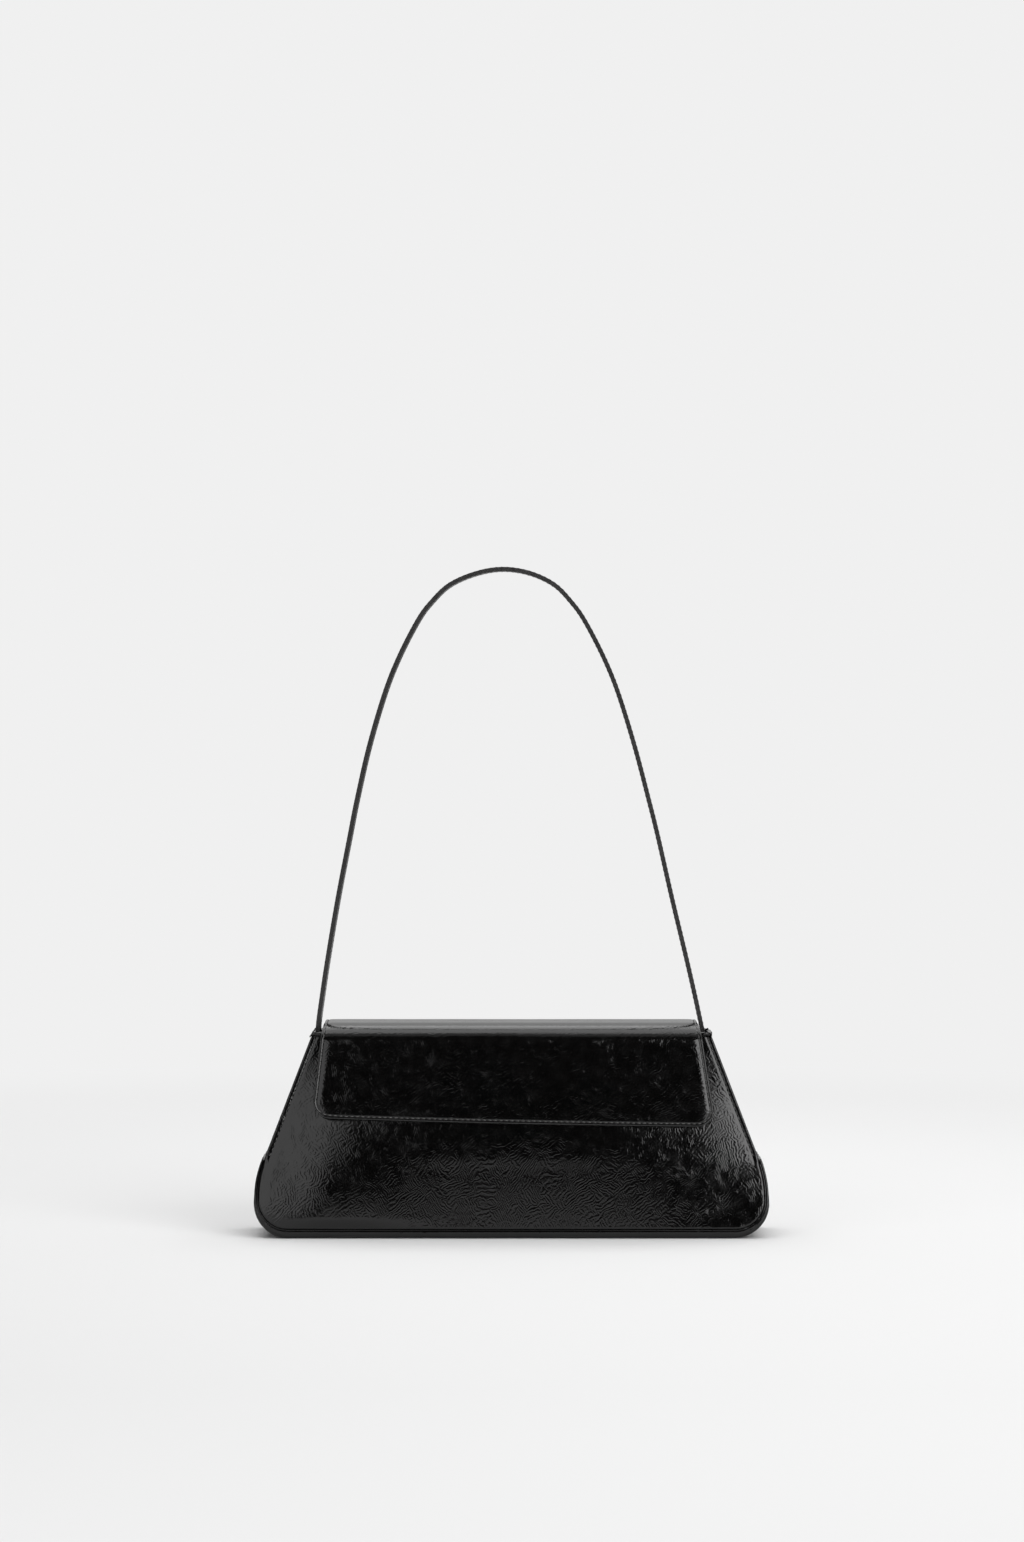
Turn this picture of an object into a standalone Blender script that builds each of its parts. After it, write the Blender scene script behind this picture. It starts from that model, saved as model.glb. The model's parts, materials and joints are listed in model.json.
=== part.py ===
"""Shoulder bag with a flap over its mouth and one strap between its two ends.

Metres, +Z up. The bag stands on z = 0 with its front towards -Y, and X runs along its length.
The origin is the middle of the base.
"""

import math

import bmesh
import bpy
from mathutils import Vector

MM = 0.001

# Outline of the body, seen from the front
BASE_WIDTH = 280.0 * MM
MOUTH_WIDTH = 217.4 * MM
MOUTH_HEIGHT = 111.0 * MM
STEP_HEIGHT = 42.0 * MM
STEP_INSET = 2.9 * MM
BELLY_HEIGHT = 22.0 * MM
SEAM_HEIGHT = 4.1 * MM
SEAM_CORNER_RADIUS = 17.3 * MM

# Depth of the body, seen from the side
BASE_DEPTH = 58.0 * MM
MOUTH_DEPTH = 30.0 * MM
BELLY_BULGE = 4.2 * MM
BULGE_LOW_SHARE = 0.75

# Leathers, boards and cloth
CLEARANCE = 0.3 * MM
PANEL_LEATHER = 1.4 * MM
GUSSET_LEATHER = 1.2 * MM
FACING_LEATHER = 0.8 * MM
LINING_CLOTH = 0.6 * MM
STIFFENER_BOARD = 0.5 * MM
BASE_BOARD = 1.5 * MM

# Base strip
END_ROLL = 2.0 * MM
ROLL_FLAT_SHARE = 0.82
ROLL_POWER_SHARE = 2.2

# Side gussets and hems
GUSSET_SAG = 4.0 * MM
GUSSET_EDGE = 0.2 * MM
GUSSET_TUCK = 1.8 * MM
TUCK_HEIGHT = 4.0 * MM
HEM_HEIGHT = 2.3 * MM
HEM_PROUD = 0.5 * MM

# Inside of the body
FACING_HEIGHT = 22.0 * MM
INNER_MARGIN = 4.8 * MM
SIDE_LINING_GAP = 0.7 * MM
STIFFENER_ABOVE_STEP = 4.0 * MM
STIFFENER_MARGIN = 9.0 * MM
POCKET_WIDTH = 130.0 * MM
POCKET_BELOW_FACING = 6.4 * MM
POCKET_HEIGHT = 50.0 * MM
BASE_BOARD_MARGIN = 2.0 * MM

# Flap
FLAP_RISE = 5.8 * MM
FLAP_DROP = 47.0 * MM
FLAP_SIDE_MARGIN = 7.4 * MM
FLAP_LEFT_FLARE = 3.5 * MM
FLAP_RIGHT_FLARE = 7.6 * MM
FLAP_SLANT = 2.4 * MM
FLAP_CORNER_RADIUS = 10.0 * MM
FLAP_FOLD_RADIUS = 12.0 * MM
FLAP_LEAN = math.radians(5.0)
FLAP_LEATHER = 1.0 * MM
FLAP_BOARD = 0.4 * MM
FLAP_LINING = 0.8 * MM
FLAP_BOARD_MARGIN = 5.0 * MM
FLAP_LINING_MARGIN = 1.2 * MM
YOKE_DROP = 36.0 * MM
YOKE_HINGE_GAP = 0.6 * MM

# Snap
SNAP_BELOW_FACING = 9.6 * MM
SNAP_DIAMETER = 13.0 * MM
SNAP_WALL = 0.4 * MM
SNAP_FIT = 0.15 * MM
MAGNET_THICKNESS = 0.9 * MM
SOCKET_BORE = 7.0 * MM
STUD_DISC = 0.5 * MM
STUD_POST_DIAMETER = 4.0 * MM
STUD_POST_HEIGHT = 0.9 * MM
SNAP_AIR = 0.9 * MM
WASHER_DIAMETER = 12.0 * MM
WASHER_BORE = 5.0 * MM

# Strap
STRAP_RISE = 254.8 * MM
STRAP_ROOT_DROP = 0.8 * MM
STRAP_ROOT_INSET = 3.6 * MM
STRAP_WIDTH = 9.5 * MM
STRAP_LEATHER = 1.05 * MM
STRAP_TAIL_HEIGHT = 22.0 * MM
STRAP_PIVOT_RISE = 15.1 * MM

# Route of the strap's middle from root to top, for the left leg and the right leg: height above the
# root in shares of the rise, then distance from the bag's middle in shares of half the root span
STRAP_ROUTE_SHARES = (
    (0.000, 1.003, 0.997),
    (0.027, 0.998, 0.982),
    (0.075, 0.984, 0.955),
    (0.153, 0.958, 0.909),
    (0.288, 0.904, 0.828),
    (0.424, 0.842, 0.756),
    (0.502, 0.805, 0.710),
    (0.618, 0.741, 0.635),
    (0.734, 0.655, 0.546),
    (0.812, 0.583, 0.474),
    (0.889, 0.487, 0.378),
    (0.928, 0.418, 0.311),
    (0.966, 0.321, 0.220),
    (0.991, 0.181, 0.099),
)
STRAP_TOP_SHARE = -0.042
LEG_POINT_COUNT = 5
STEPS_PER_POINT = 3

# Fineness of the meshes
CORNER_STEPS = 5
EASE_STEPS = 3
WALL_STEPS = 5
FOLD_STEPS = 6
ROUND_STEPS = 28
ACROSS_SHARES = (-1.0, -0.9, -0.72, -0.48, -0.24, 0.0, 0.24, 0.48, 0.72, 0.9, 1.0)
SMOOTH_ANGLE = math.radians(35.0)

# Values that follow from the sizes above
FRONT = -1
BACK = 1
LEFT = -1
RIGHT = 1
BELLY_HALF = BASE_WIDTH / 2 - END_ROLL
STEP_HALF = BELLY_HALF - STEP_INSET
MOUTH_HALF = MOUTH_WIDTH / 2
SIDE_SLOPE = (STEP_HALF - MOUTH_HALF) / (MOUTH_HEIGHT - STEP_HEIGHT)
EASE_POWER = SIDE_SLOPE * (STEP_HEIGHT - BELLY_HEIGHT) / STEP_INSET
CORNER_TOP = SEAM_HEIGHT + SEAM_CORNER_RADIUS
PANEL_TOP = MOUTH_HEIGHT - HEM_HEIGHT - CLEARANCE
FACING_LOW = PANEL_TOP - FACING_HEIGHT
FACING_DEPTH = PANEL_LEATHER + CLEARANCE
LINING_DEPTH = FACING_DEPTH + STIFFENER_BOARD + CLEARANCE
POCKET_DEPTH = LINING_DEPTH + LINING_CLOTH + CLEARANCE
BASE_LINING_INSET = PANEL_LEATHER + CLEARANCE + BASE_BOARD + CLEARANCE
FLAP_THICKNESS = FLAP_LEATHER + FLAP_BOARD + FLAP_LINING + 2 * CLEARANCE
FLAP_HALF_THICKNESS = FLAP_THICKNESS / 2
FLAP_LOW_EDGE = MOUTH_HEIGHT - FLAP_DROP
FLAP_TOP_WIDTH = MOUTH_WIDTH - 2 * FLAP_SIDE_MARGIN
HINGE_HEIGHT = MOUTH_HEIGHT + FLAP_RISE - FLAP_HALF_THICKNESS
SNAP_HEIGHT = FACING_LOW - SNAP_BELOW_FACING
SNAP_PROUD = CLEARANCE + MAGNET_THICKNESS + SNAP_FIT + SNAP_WALL
SNAP_STACK = SNAP_PROUD + SNAP_AIR + STUD_DISC + CLEARANCE
STRAP_THICKNESS = 2 * STRAP_LEATHER + CLEARANCE
STRAP_ROOT_HEIGHT = MOUTH_HEIGHT - STRAP_ROOT_DROP
STRAP_TOP_HEIGHT = STRAP_ROOT_HEIGHT + STRAP_RISE
STRAP_HALF_SPAN = MOUTH_HALF + STRAP_ROOT_DROP * SIDE_SLOPE - STRAP_ROOT_INSET
PIVOT_HEIGHT = STRAP_ROOT_HEIGHT + STRAP_PIVOT_RISE
SIDE_STRETCH = math.sqrt(1 + SIDE_SLOPE**2)
SIDE_LINING_INSET = STRAP_ROOT_INSET + STRAP_THICKNESS * SIDE_STRETCH / 2 + SIDE_LINING_GAP


def clear_scene():
    """Remove every object, so that the bag is built into an empty scene."""
    for item in list(bpy.data.objects):
        bpy.data.objects.remove(item, do_unlink=True)


def steps(low, high, count):
    """Evenly spaced values from low to high, both included."""
    return [low + (high - low) * index / count for index in range(count + 1)]


def finish(name, colour, roughness, metallic=0.0):
    """A material with one colour, roughness and metallic value."""
    material = bpy.data.materials.new(name)
    material.use_nodes = True
    shader = material.node_tree.nodes["Principled BSDF"]
    shader.inputs["Base Color"].default_value = (*colour, 1.0)
    shader.inputs["Roughness"].default_value = roughness
    shader.inputs["Metallic"].default_value = metallic
    return material


BLACK_LEATHER = ((0.012, 0.012, 0.013), 0.28)
INNER_LEATHER = ((0.016, 0.015, 0.015), 0.45)
BLACK_CLOTH = ((0.02, 0.02, 0.022), 0.85)
GREY_BOARD = ((0.22, 0.2, 0.17), 0.9)
BRIGHT_METAL = ((0.62, 0.6, 0.56), 0.3, 1.0)
DARK_MAGNET = ((0.12, 0.12, 0.13), 0.4, 1.0)


def add_body(name, pivot):
    """An empty at the point that a body turns about."""
    empty = bpy.data.objects.new(name, None)
    empty.location = pivot
    empty.empty_display_size = STRAP_WIDTH
    bpy.context.scene.collection.objects.link(empty)
    return empty


def add_node(name, shape, look, body, location=None, rotation=None):
    """Turn a finished bmesh into a named object under its body's empty."""
    bmesh.ops.recalc_face_normals(shape, faces=shape.faces)
    if shape.calc_volume(signed=True) < 0:
        bmesh.ops.reverse_faces(shape, faces=shape.faces)
    mesh = bpy.data.meshes.new(name)
    shape.to_mesh(mesh)
    shape.free()
    mesh.materials.append(finish(f"{name}_finish", *look))
    mesh.shade_smooth()
    mesh.set_sharp_from_angle(angle=SMOOTH_ANGLE)
    node = bpy.data.objects.new(name, mesh)
    bpy.context.scene.collection.objects.link(node)
    node.parent = body
    if location is not None:
        node.location = location - body.location
    if rotation is not None:
        node.rotation_mode = "QUATERNION"
        node.rotation_quaternion = rotation
    return node


def slab(name, across, along, place, look, body):
    """A sheet with a thickness: a unit slab whose corners are carried to their places.

    place(across value, along value, share of the thickness) gives each corner's point.
    """
    shape = bmesh.new()
    columns = len(across) - 1
    rows = len(along) - 1
    bmesh.ops.create_grid(shape, x_segments=columns, y_segments=rows, size=0.5)
    lifted = bmesh.ops.extrude_face_region(shape, geom=shape.faces[:])
    copies = [item for item in lifted["geom"] if isinstance(item, bmesh.types.BMVert)]
    bmesh.ops.translate(shape, verts=copies, vec=(0, 0, 1))
    for vertex in shape.verts:
        column = round((vertex.co.x + 0.5) * columns)
        row = round((vertex.co.y + 0.5) * rows)
        point = place(across[column], along[row], vertex.co.z)
        vertex.co = point - body.location
    return add_node(name, shape, look, body)


def turned(name, profile, look, body, point, axis):
    """A ring turned from a closed profile of (radius, height) corners about the given axis."""
    shape = bmesh.new()
    corners = [shape.verts.new((radius, 0, height)) for radius, height in profile]
    edges = [shape.edges.new((a, b)) for a, b in zip(corners, corners[1:] + corners[:1])]
    bmesh.ops.spin(
        shape,
        geom=corners + edges,
        axis=(0, 0, 1),
        cent=(0, 0, 0),
        angle=math.tau,
        steps=ROUND_STEPS,
        use_merge=True,
    )
    return add_node(name, shape, look, body, point, axis.to_track_quat("Z", "Y"))


def cut(node, cutter):
    """Cut a hidden cutter out of a node."""
    cutter.hide_render = True
    cutter.display_type = "WIRE"
    modifier = node.modifiers.new("hole", "BOOLEAN")
    modifier.operation = "DIFFERENCE"
    modifier.solver = "EXACT"
    modifier.object = cutter


def hole_cutter(name, body, point, axis, diameter, length):
    """A plain cylinder, centred on a point, that cuts a round hole."""
    shape = bmesh.new()
    bmesh.ops.create_cone(
        shape,
        cap_ends=True,
        segments=ROUND_STEPS,
        radius1=diameter / 2,
        radius2=diameter / 2,
        depth=length,
    )
    return add_node(name, shape, BRIGHT_METAL, body, point, axis.to_track_quat("Z", "Y"))


# Shape of the body

def half_width(z, inset=0.0):
    """Half the width of the panels at a height, or of an outline that lies inside theirs."""
    if z < CORNER_TOP:
        radius = SEAM_CORNER_RADIUS - inset
        drop = min(CORNER_TOP - z, radius)
        return BELLY_HALF - SEAM_CORNER_RADIUS + math.sqrt(radius**2 - drop**2)
    if z < BELLY_HEIGHT:
        return BELLY_HALF - inset
    if z < STEP_HEIGHT:
        share = (z - BELLY_HEIGHT) / (STEP_HEIGHT - BELLY_HEIGHT)
        return BELLY_HALF - STEP_INSET * share**EASE_POWER - inset
    return STEP_HALF - (z - STEP_HEIGHT) * SIDE_SLOPE - inset


def wall_share(z):
    """Share of the way from the bottom seam to the mouth."""
    return (z - SEAM_HEIGHT) / (MOUTH_HEIGHT - SEAM_HEIGHT)


def half_depth(z):
    """Half the depth of the body at a height, at the panels' side edges."""
    return (BASE_DEPTH - (BASE_DEPTH - MOUTH_DEPTH) * wall_share(z)) / 2


def bulge(x, z):
    """How far the panels swell outwards between their edges."""
    share = min(max(wall_share(z), 0.0), 1.0)
    across = min(abs(x) / half_width(z), 1.0)
    return BELLY_BULGE * (1 - across**2) * math.sin(math.pi * share**BULGE_LOW_SHARE)


def wall_point(side, x, z, depth):
    """A point at a depth under the outer face of the front or the back panel."""
    return Vector((x, side * (half_depth(z) + bulge(x, z) - depth), z))


def wall_normal(side, x, z):
    """The outward direction of the front or the back panel's face."""
    up = wall_point(side, x, z + CLEARANCE, 0) - wall_point(side, x, z - CLEARANCE, 0)
    return Vector((0, side * up.z, -side * up.y)).normalized()


def side_sag(z):
    """How far the middle of a side gusset folds inwards at a height."""
    share = (z - STEP_HEIGHT) / (PANEL_TOP - STEP_HEIGHT)
    share = min(max(share, 0.0), 1.0)
    return GUSSET_SAG * math.sin(math.pi * share)


def outline_levels(inset, top):
    """Heights from the bottom seam to the top, close together round the corners."""
    radius = SEAM_CORNER_RADIUS - inset
    corner = [CORNER_TOP - radius * math.cos(turn) for turn in steps(0, math.pi / 2, CORNER_STEPS)]
    ease = steps(BELLY_HEIGHT, STEP_HEIGHT, EASE_STEPS)
    return corner + ease + steps(STEP_HEIGHT, top, WALL_STEPS)[1:]


def wall_layer(name, side, depth, thickness, inset, top, look, body):
    """A layer of the front or back wall that has the panel's outline, or one inside it."""

    def place(share, z, layer):
        return wall_point(side, share * half_width(z, inset), z, depth + layer * thickness)

    return slab(name, ACROSS_SHARES, outline_levels(inset, top), place, look, body)


def wall_band(name, side, depth, thickness, margin, low, high, look, body):
    """A layer of the front or back wall between two heights."""

    def place(share, z, layer):
        x = share * (half_width(z) - margin)
        return wall_point(side, x, z, depth + layer * thickness)

    return slab(name, ACROSS_SHARES, steps(low, high, WALL_STEPS), place, look, body)


def build_panels(bag):
    """Front and back panels, the facings inside the mouth and the boards behind them."""
    wall_layer("front_panel", FRONT, 0, PANEL_LEATHER, 0, PANEL_TOP, BLACK_LEATHER, bag)
    wall_layer("back_panel", BACK, 0, PANEL_LEATHER, 0, PANEL_TOP, BLACK_LEATHER, bag)
    board_low = STEP_HEIGHT + STIFFENER_ABOVE_STEP
    board_top = FACING_LOW - CLEARANCE
    for word, side in (("front", FRONT), ("back", BACK)):
        facing = (FACING_DEPTH, FACING_LEATHER, INNER_MARGIN, FACING_LOW, PANEL_TOP)
        wall_band(f"{word}_facing", side, *facing, INNER_LEATHER, bag)
        board = (FACING_DEPTH, STIFFENER_BOARD, STIFFENER_MARGIN, board_low, board_top)
        stiffener = wall_band(f"{word}_stiffener", side, *board, GREY_BOARD, bag)
        if side == FRONT:
            hole = WASHER_DIAMETER + 2 * CLEARANCE
            point = wall_point(side, 0, SNAP_HEIGHT, FACING_DEPTH)
            length = PANEL_LEATHER + STIFFENER_BOARD
            axis = wall_normal(side, 0, SNAP_HEIGHT)
            cut(stiffener, hole_cutter("front_washer_hole", bag, point, axis, hole, length))


def build_hems(bag):
    """The folded leather bars along the edges of the mouth."""
    levels = steps(MOUTH_HEIGHT - HEM_HEIGHT, MOUTH_HEIGHT, 1)
    inner = FACING_DEPTH + FACING_LEATHER

    def mouth_hem(side, proud):
        def place(share, z, layer):
            x = share * (half_width(z) - GUSSET_EDGE)
            return wall_point(side, x, z, layer * (inner + proud) - proud)

        return place

    slab("front_hem", ACROSS_SHARES, levels, mouth_hem(FRONT, HEM_PROUD), BLACK_LEATHER, bag)
    slab("back_hem", ACROSS_SHARES, levels, mouth_hem(BACK, 0), BLACK_LEATHER, bag)

    def gusset_hem(side):
        width = HEM_PROUD + GUSSET_EDGE + GUSSET_LEATHER + CLEARANCE

        def place(share, z, layer):
            y = share * (half_depth(z) - inner - CLEARANCE)
            return Vector((side * (half_width(z) + HEM_PROUD - layer * width), y, z))

        return place

    slab("left_gusset_hem", (-1, 0, 1), levels, gusset_hem(LEFT), BLACK_LEATHER, bag)
    slab("right_gusset_hem", (-1, 0, 1), levels, gusset_hem(RIGHT), BLACK_LEATHER, bag)


def side_strip(name, side, inset, thickness, edge, tuck, low, look, body):
    """A strip across one end of the bag that follows the folded gusset at a depth under it."""

    def place(share, z, layer):
        y = share * (half_depth(z) - edge)
        fold = side_sag(z) * (1 - share**2)
        under = tuck * min(max((STEP_HEIGHT + TUCK_HEIGHT - z) / TUCK_HEIGHT, 0.0), 1.0)
        x = half_width(z) - inset - fold - under - layer * thickness
        return Vector((side * x, y, z))

    shares = (-1.0, -0.75, -0.5, -0.25, 0.0, 0.25, 0.5, 0.75, 1.0)
    levels = [low] if low < STEP_HEIGHT else []
    levels += [STEP_HEIGHT + CLEARANCE]
    levels += steps(STEP_HEIGHT + TUCK_HEIGHT, PANEL_TOP, 2 * WALL_STEPS)
    return slab(name, shares, levels, place, look, body)


def build_gussets(bag):
    """The folded side gussets, which tuck in behind the base strip's ends, and their linings."""
    edge = PANEL_LEATHER + CLEARANCE
    lining_edge = LINING_DEPTH + LINING_CLOTH + CLEARANCE
    low = STEP_HEIGHT - TUCK_HEIGHT
    for word, side in (("left", LEFT), ("right", RIGHT)):
        gusset = (GUSSET_EDGE, GUSSET_LEATHER, edge, GUSSET_TUCK, low)
        side_strip(f"{word}_gusset", side, *gusset, BLACK_LEATHER, bag)
        lining = (SIDE_LINING_INSET, LINING_CLOTH, lining_edge, 0, low)
        side_strip(f"{word}_side_lining", side, *lining, BLACK_CLOTH, bag)


def base_path(inset, top):
    """Points and outward directions along the U of the bottom seam, from left to right."""
    levels = outline_levels(inset, STEP_HEIGHT)[: CORNER_STEPS + 1 + EASE_STEPS + 1]
    levels[-1] = top
    right = [Vector((half_width(z, inset), 0, z)) for z in levels]
    left = [Vector((-point.x, 0, point.z)) for point in reversed(right)]
    points = left + right
    path = []
    for index, point in enumerate(points):
        before = points[max(index - 1, 0)]
        after = points[min(index + 1, len(points) - 1)]
        along = (after - before).normalized()
        path.append((point, Vector((along.z, 0, -along.x))))
    return path


def base_strip(name, inset, thickness, edge, top, look, body):
    """A U of sheet along the bottom and up both ends, rolled outwards between its seams."""
    path = base_path(inset, top)
    across = (-1.0, -0.94, -0.88, -ROLL_FLAT_SHARE, 0.0, ROLL_FLAT_SHARE, 0.88, 0.94, 1.0)

    def place(index, share, layer):
        point, outward = path[index]
        beyond = max(abs(share) - ROLL_FLAT_SHARE, 0.0) / (1 - ROLL_FLAT_SHARE)
        height = END_ROLL + (SEAM_HEIGHT - END_ROLL) * max(-outward.z, 0.0)
        roll = height * (1 - beyond**ROLL_POWER_SHARE)
        y = share * (half_depth(point.z) - edge)
        return point + outward * (roll - layer * thickness) + Vector((0, y, 0))

    return slab(name, range(len(path)), across, place, look, body)


def build_base(bag):
    """The base strip, the board that keeps it flat and the lining over the board."""
    edge = PANEL_LEATHER + CLEARANCE
    base_strip("base_strip", 0, PANEL_LEATHER, edge, STEP_HEIGHT, BLACK_LEATHER, bag)
    lining_edge = LINING_DEPTH + LINING_CLOTH + CLEARANCE
    lining_top = STEP_HEIGHT - TUCK_HEIGHT - 3 * CLEARANCE
    base_strip("base_lining", BASE_LINING_INSET, LINING_CLOTH, lining_edge, lining_top, BLACK_CLOTH, bag)
    half_x = BELLY_HALF - SEAM_CORNER_RADIUS - BASE_BOARD_MARGIN
    half_y = (half_depth(SEAM_HEIGHT) - edge) * ROLL_FLAT_SHARE
    low = PANEL_LEATHER + CLEARANCE

    def place(x, y, layer):
        return Vector((x * half_x, y * half_y, low + layer * BASE_BOARD))

    slab("base_board", (-1, 0, 1), (-1, 0, 1), place, GREY_BOARD, bag)


def build_lining(bag):
    """Front and back lining cloths and the slip pocket on the back one."""
    top = FACING_LOW - CLEARANCE
    layer = (LINING_DEPTH, LINING_CLOTH, INNER_MARGIN, top)
    for word, side in (("front", FRONT), ("back", BACK)):
        wall_layer(f"{word}_lining", side, *layer, BLACK_CLOTH, bag)

    def place(share, z, depth_share):
        x = share * POCKET_WIDTH / 2
        return wall_point(BACK, x, z, POCKET_DEPTH + depth_share * LINING_CLOTH)

    pocket_top = FACING_LOW - POCKET_BELOW_FACING
    levels = steps(pocket_top - POCKET_HEIGHT, pocket_top, WALL_STEPS)
    slab("slip_pocket", ACROSS_SHARES, levels, place, BLACK_CLOTH, bag)


# Flap

def hinge_point():
    """The line that the flap turns about, in the middle of its thickness behind the mouth."""
    y = half_depth(HINGE_HEIGHT) + CLEARANCE + FLAP_HALF_THICKNESS
    return Vector((0, y, HINGE_HEIGHT))


def flap_front_y(z):
    """Where the middle of the flap's thickness hangs in front of the body at a height."""
    seat = wall_point(FRONT, 0, SNAP_HEIGHT, 0).y
    return seat - SNAP_STACK - FLAP_HALF_THICKNESS - (SNAP_HEIGHT - z) * math.tan(FLAP_LEAN)


def flap_fold():
    """Centre of the flap's round front fold, and the angle through which it turns."""
    centre_z = HINGE_HEIGHT - FLAP_FOLD_RADIUS
    touch_z = centre_z + FLAP_FOLD_RADIUS * math.sin(FLAP_LEAN)
    centre_y = flap_front_y(touch_z) + FLAP_FOLD_RADIUS * math.cos(FLAP_LEAN)
    return Vector((0, centre_y, centre_z)), math.pi / 2 - FLAP_LEAN


def flap_lengths():
    """Length of the flat top, of the fold and of the straight front down to the low edge."""
    centre, turn = flap_fold()
    top = hinge_point().y - centre.y
    fold = FLAP_FOLD_RADIUS * turn
    touch_z = centre.z + FLAP_FOLD_RADIUS * math.sin(FLAP_LEAN)
    front = (touch_z - FLAP_LOW_EDGE) / math.cos(FLAP_LEAN)
    return top, fold, front


def flap_point(x, run, lift):
    """A point on the flap: run is measured from the hinge, lift out of its middle."""
    top, fold, front = flap_lengths()
    centre, turn = flap_fold()
    hinge = hinge_point()
    if run <= top:
        return Vector((x, hinge.y - run, hinge.z + lift))
    if run <= top + fold:
        angle = (run - top) / FLAP_FOLD_RADIUS
        reach = FLAP_FOLD_RADIUS + lift
        return Vector((x, centre.y - reach * math.sin(angle), centre.z + reach * math.cos(angle)))
    down = run - top - fold
    outward = Vector((0, -math.cos(FLAP_LEAN), math.sin(FLAP_LEAN)))
    start = centre + outward * (FLAP_FOLD_RADIUS + lift)
    along = Vector((0, -math.sin(FLAP_LEAN), -math.cos(FLAP_LEAN)))
    return Vector((x, 0, 0)) + start + along * down


def flap_edge(share, run, margin):
    """Where a share of the flap's width lies, left at -1 and right at 1, at a run."""
    top, fold, front = flap_lengths()
    flare_share = min(max((run - top) / (fold + front), 0.0), 1.0)
    left = FLAP_TOP_WIDTH / 2 + FLAP_LEFT_FLARE * flare_share - margin
    right = FLAP_TOP_WIDTH / 2 + FLAP_RIGHT_FLARE * flare_share - margin
    return (share * (left + right) + right - left) / 2


def flap_end(share, margin):
    """Run of the flap's slanted low edge with its rounded corners."""
    end = sum(flap_lengths()) + FLAP_SLANT * share - margin
    radius = FLAP_CORNER_RADIUS - margin
    half = FLAP_TOP_WIDTH / 2 + (FLAP_LEFT_FLARE + FLAP_RIGHT_FLARE) / 2 - margin
    into = radius - (1 - abs(share)) * half
    if into > 0:
        end -= radius - math.sqrt(max(radius**2 - into**2, 0.0))
    return end


def flap_layer(name, low, high, margin, start, look, body):
    """One layer of the flap between two lifts, from a run to the low edge."""
    top, fold, front = flap_lengths()
    square = top + fold + front - FLAP_CORNER_RADIUS - FLAP_SLANT - FLAP_LINING_MARGIN
    runs = [start] if start < top else []
    runs += [run for run in steps(top, top + fold, FOLD_STEPS) if run >= start]
    if start > top + fold:
        runs = [start]
    runs += steps(runs[-1], square, 2)[1:]
    last = len(runs) + 2
    corner = FLAP_CORNER_RADIUS / (FLAP_TOP_WIDTH / 2)
    edges = [1 - corner * (1 - math.sin(turn)) for turn in steps(0, math.pi / 2, CORNER_STEPS)]
    right = [0.0, 0.3, 0.6] + edges
    shares = [-share for share in reversed(right[1:])] + right

    def place(share, row, layer):
        run = runs[row] if row < len(runs) else 0.0
        if row >= len(runs):
            part = (row - len(runs) + 1) / (last - len(runs) + 1)
            run = square + (flap_end(share, margin) - square) * part
        return flap_point(flap_edge(share, run, margin), run, low + (high - low) * layer)

    return slab(name, shares, range(last + 1), place, look, body)


def build_flap(bag, flap):
    """The flap's three layers, and the yoke that carries it on the back panel."""
    top, fold, front = flap_lengths()
    outer_low = FLAP_HALF_THICKNESS - FLAP_LEATHER
    board_high = outer_low - CLEARANCE
    board_low = board_high - FLAP_BOARD
    lining_low = -FLAP_HALF_THICKNESS
    lining_high = lining_low + FLAP_LINING
    flap_layer("flap_leather", outer_low, FLAP_HALF_THICKNESS, 0, 0, BLACK_LEATHER, flap)
    flap_layer("flap_lining", lining_low, lining_high, FLAP_LINING_MARGIN, 0, INNER_LEATHER, flap)
    start = top + fold + CLEARANCE
    board = flap_layer("flap_stiffener", board_low, board_high, FLAP_BOARD_MARGIN, start, GREY_BOARD, flap)
    point = flap_point(0, snap_run(), board_low)
    outward = Vector((0, -math.cos(FLAP_LEAN), math.sin(FLAP_LEAN)))
    hole = WASHER_DIAMETER + 2 * CLEARANCE
    cut(board, hole_cutter("flap_washer_hole", flap, point, outward, hole, FLAP_THICKNESS))

    def place(share, z, layer):
        x = share * FLAP_TOP_WIDTH / 2
        swell = bulge(x, z) if z < MOUTH_HEIGHT else 0.0
        y = half_depth(z) + swell + CLEARANCE + layer * FLAP_THICKNESS
        return Vector((x, y, z))

    hinge_z = HINGE_HEIGHT - FLAP_HALF_THICKNESS - YOKE_HINGE_GAP
    levels = steps(MOUTH_HEIGHT - YOKE_DROP, MOUTH_HEIGHT, WALL_STEPS) + [hinge_z]
    slab("flap_yoke", ACROSS_SHARES, levels, place, BLACK_LEATHER, bag)


# Snap

def snap_run():
    """Run along the flap at which its stud meets the socket."""
    top, fold, front = flap_lengths()
    return top + fold + front - (SNAP_HEIGHT - FLAP_LOW_EDGE) / math.cos(FLAP_LEAN)


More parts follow.
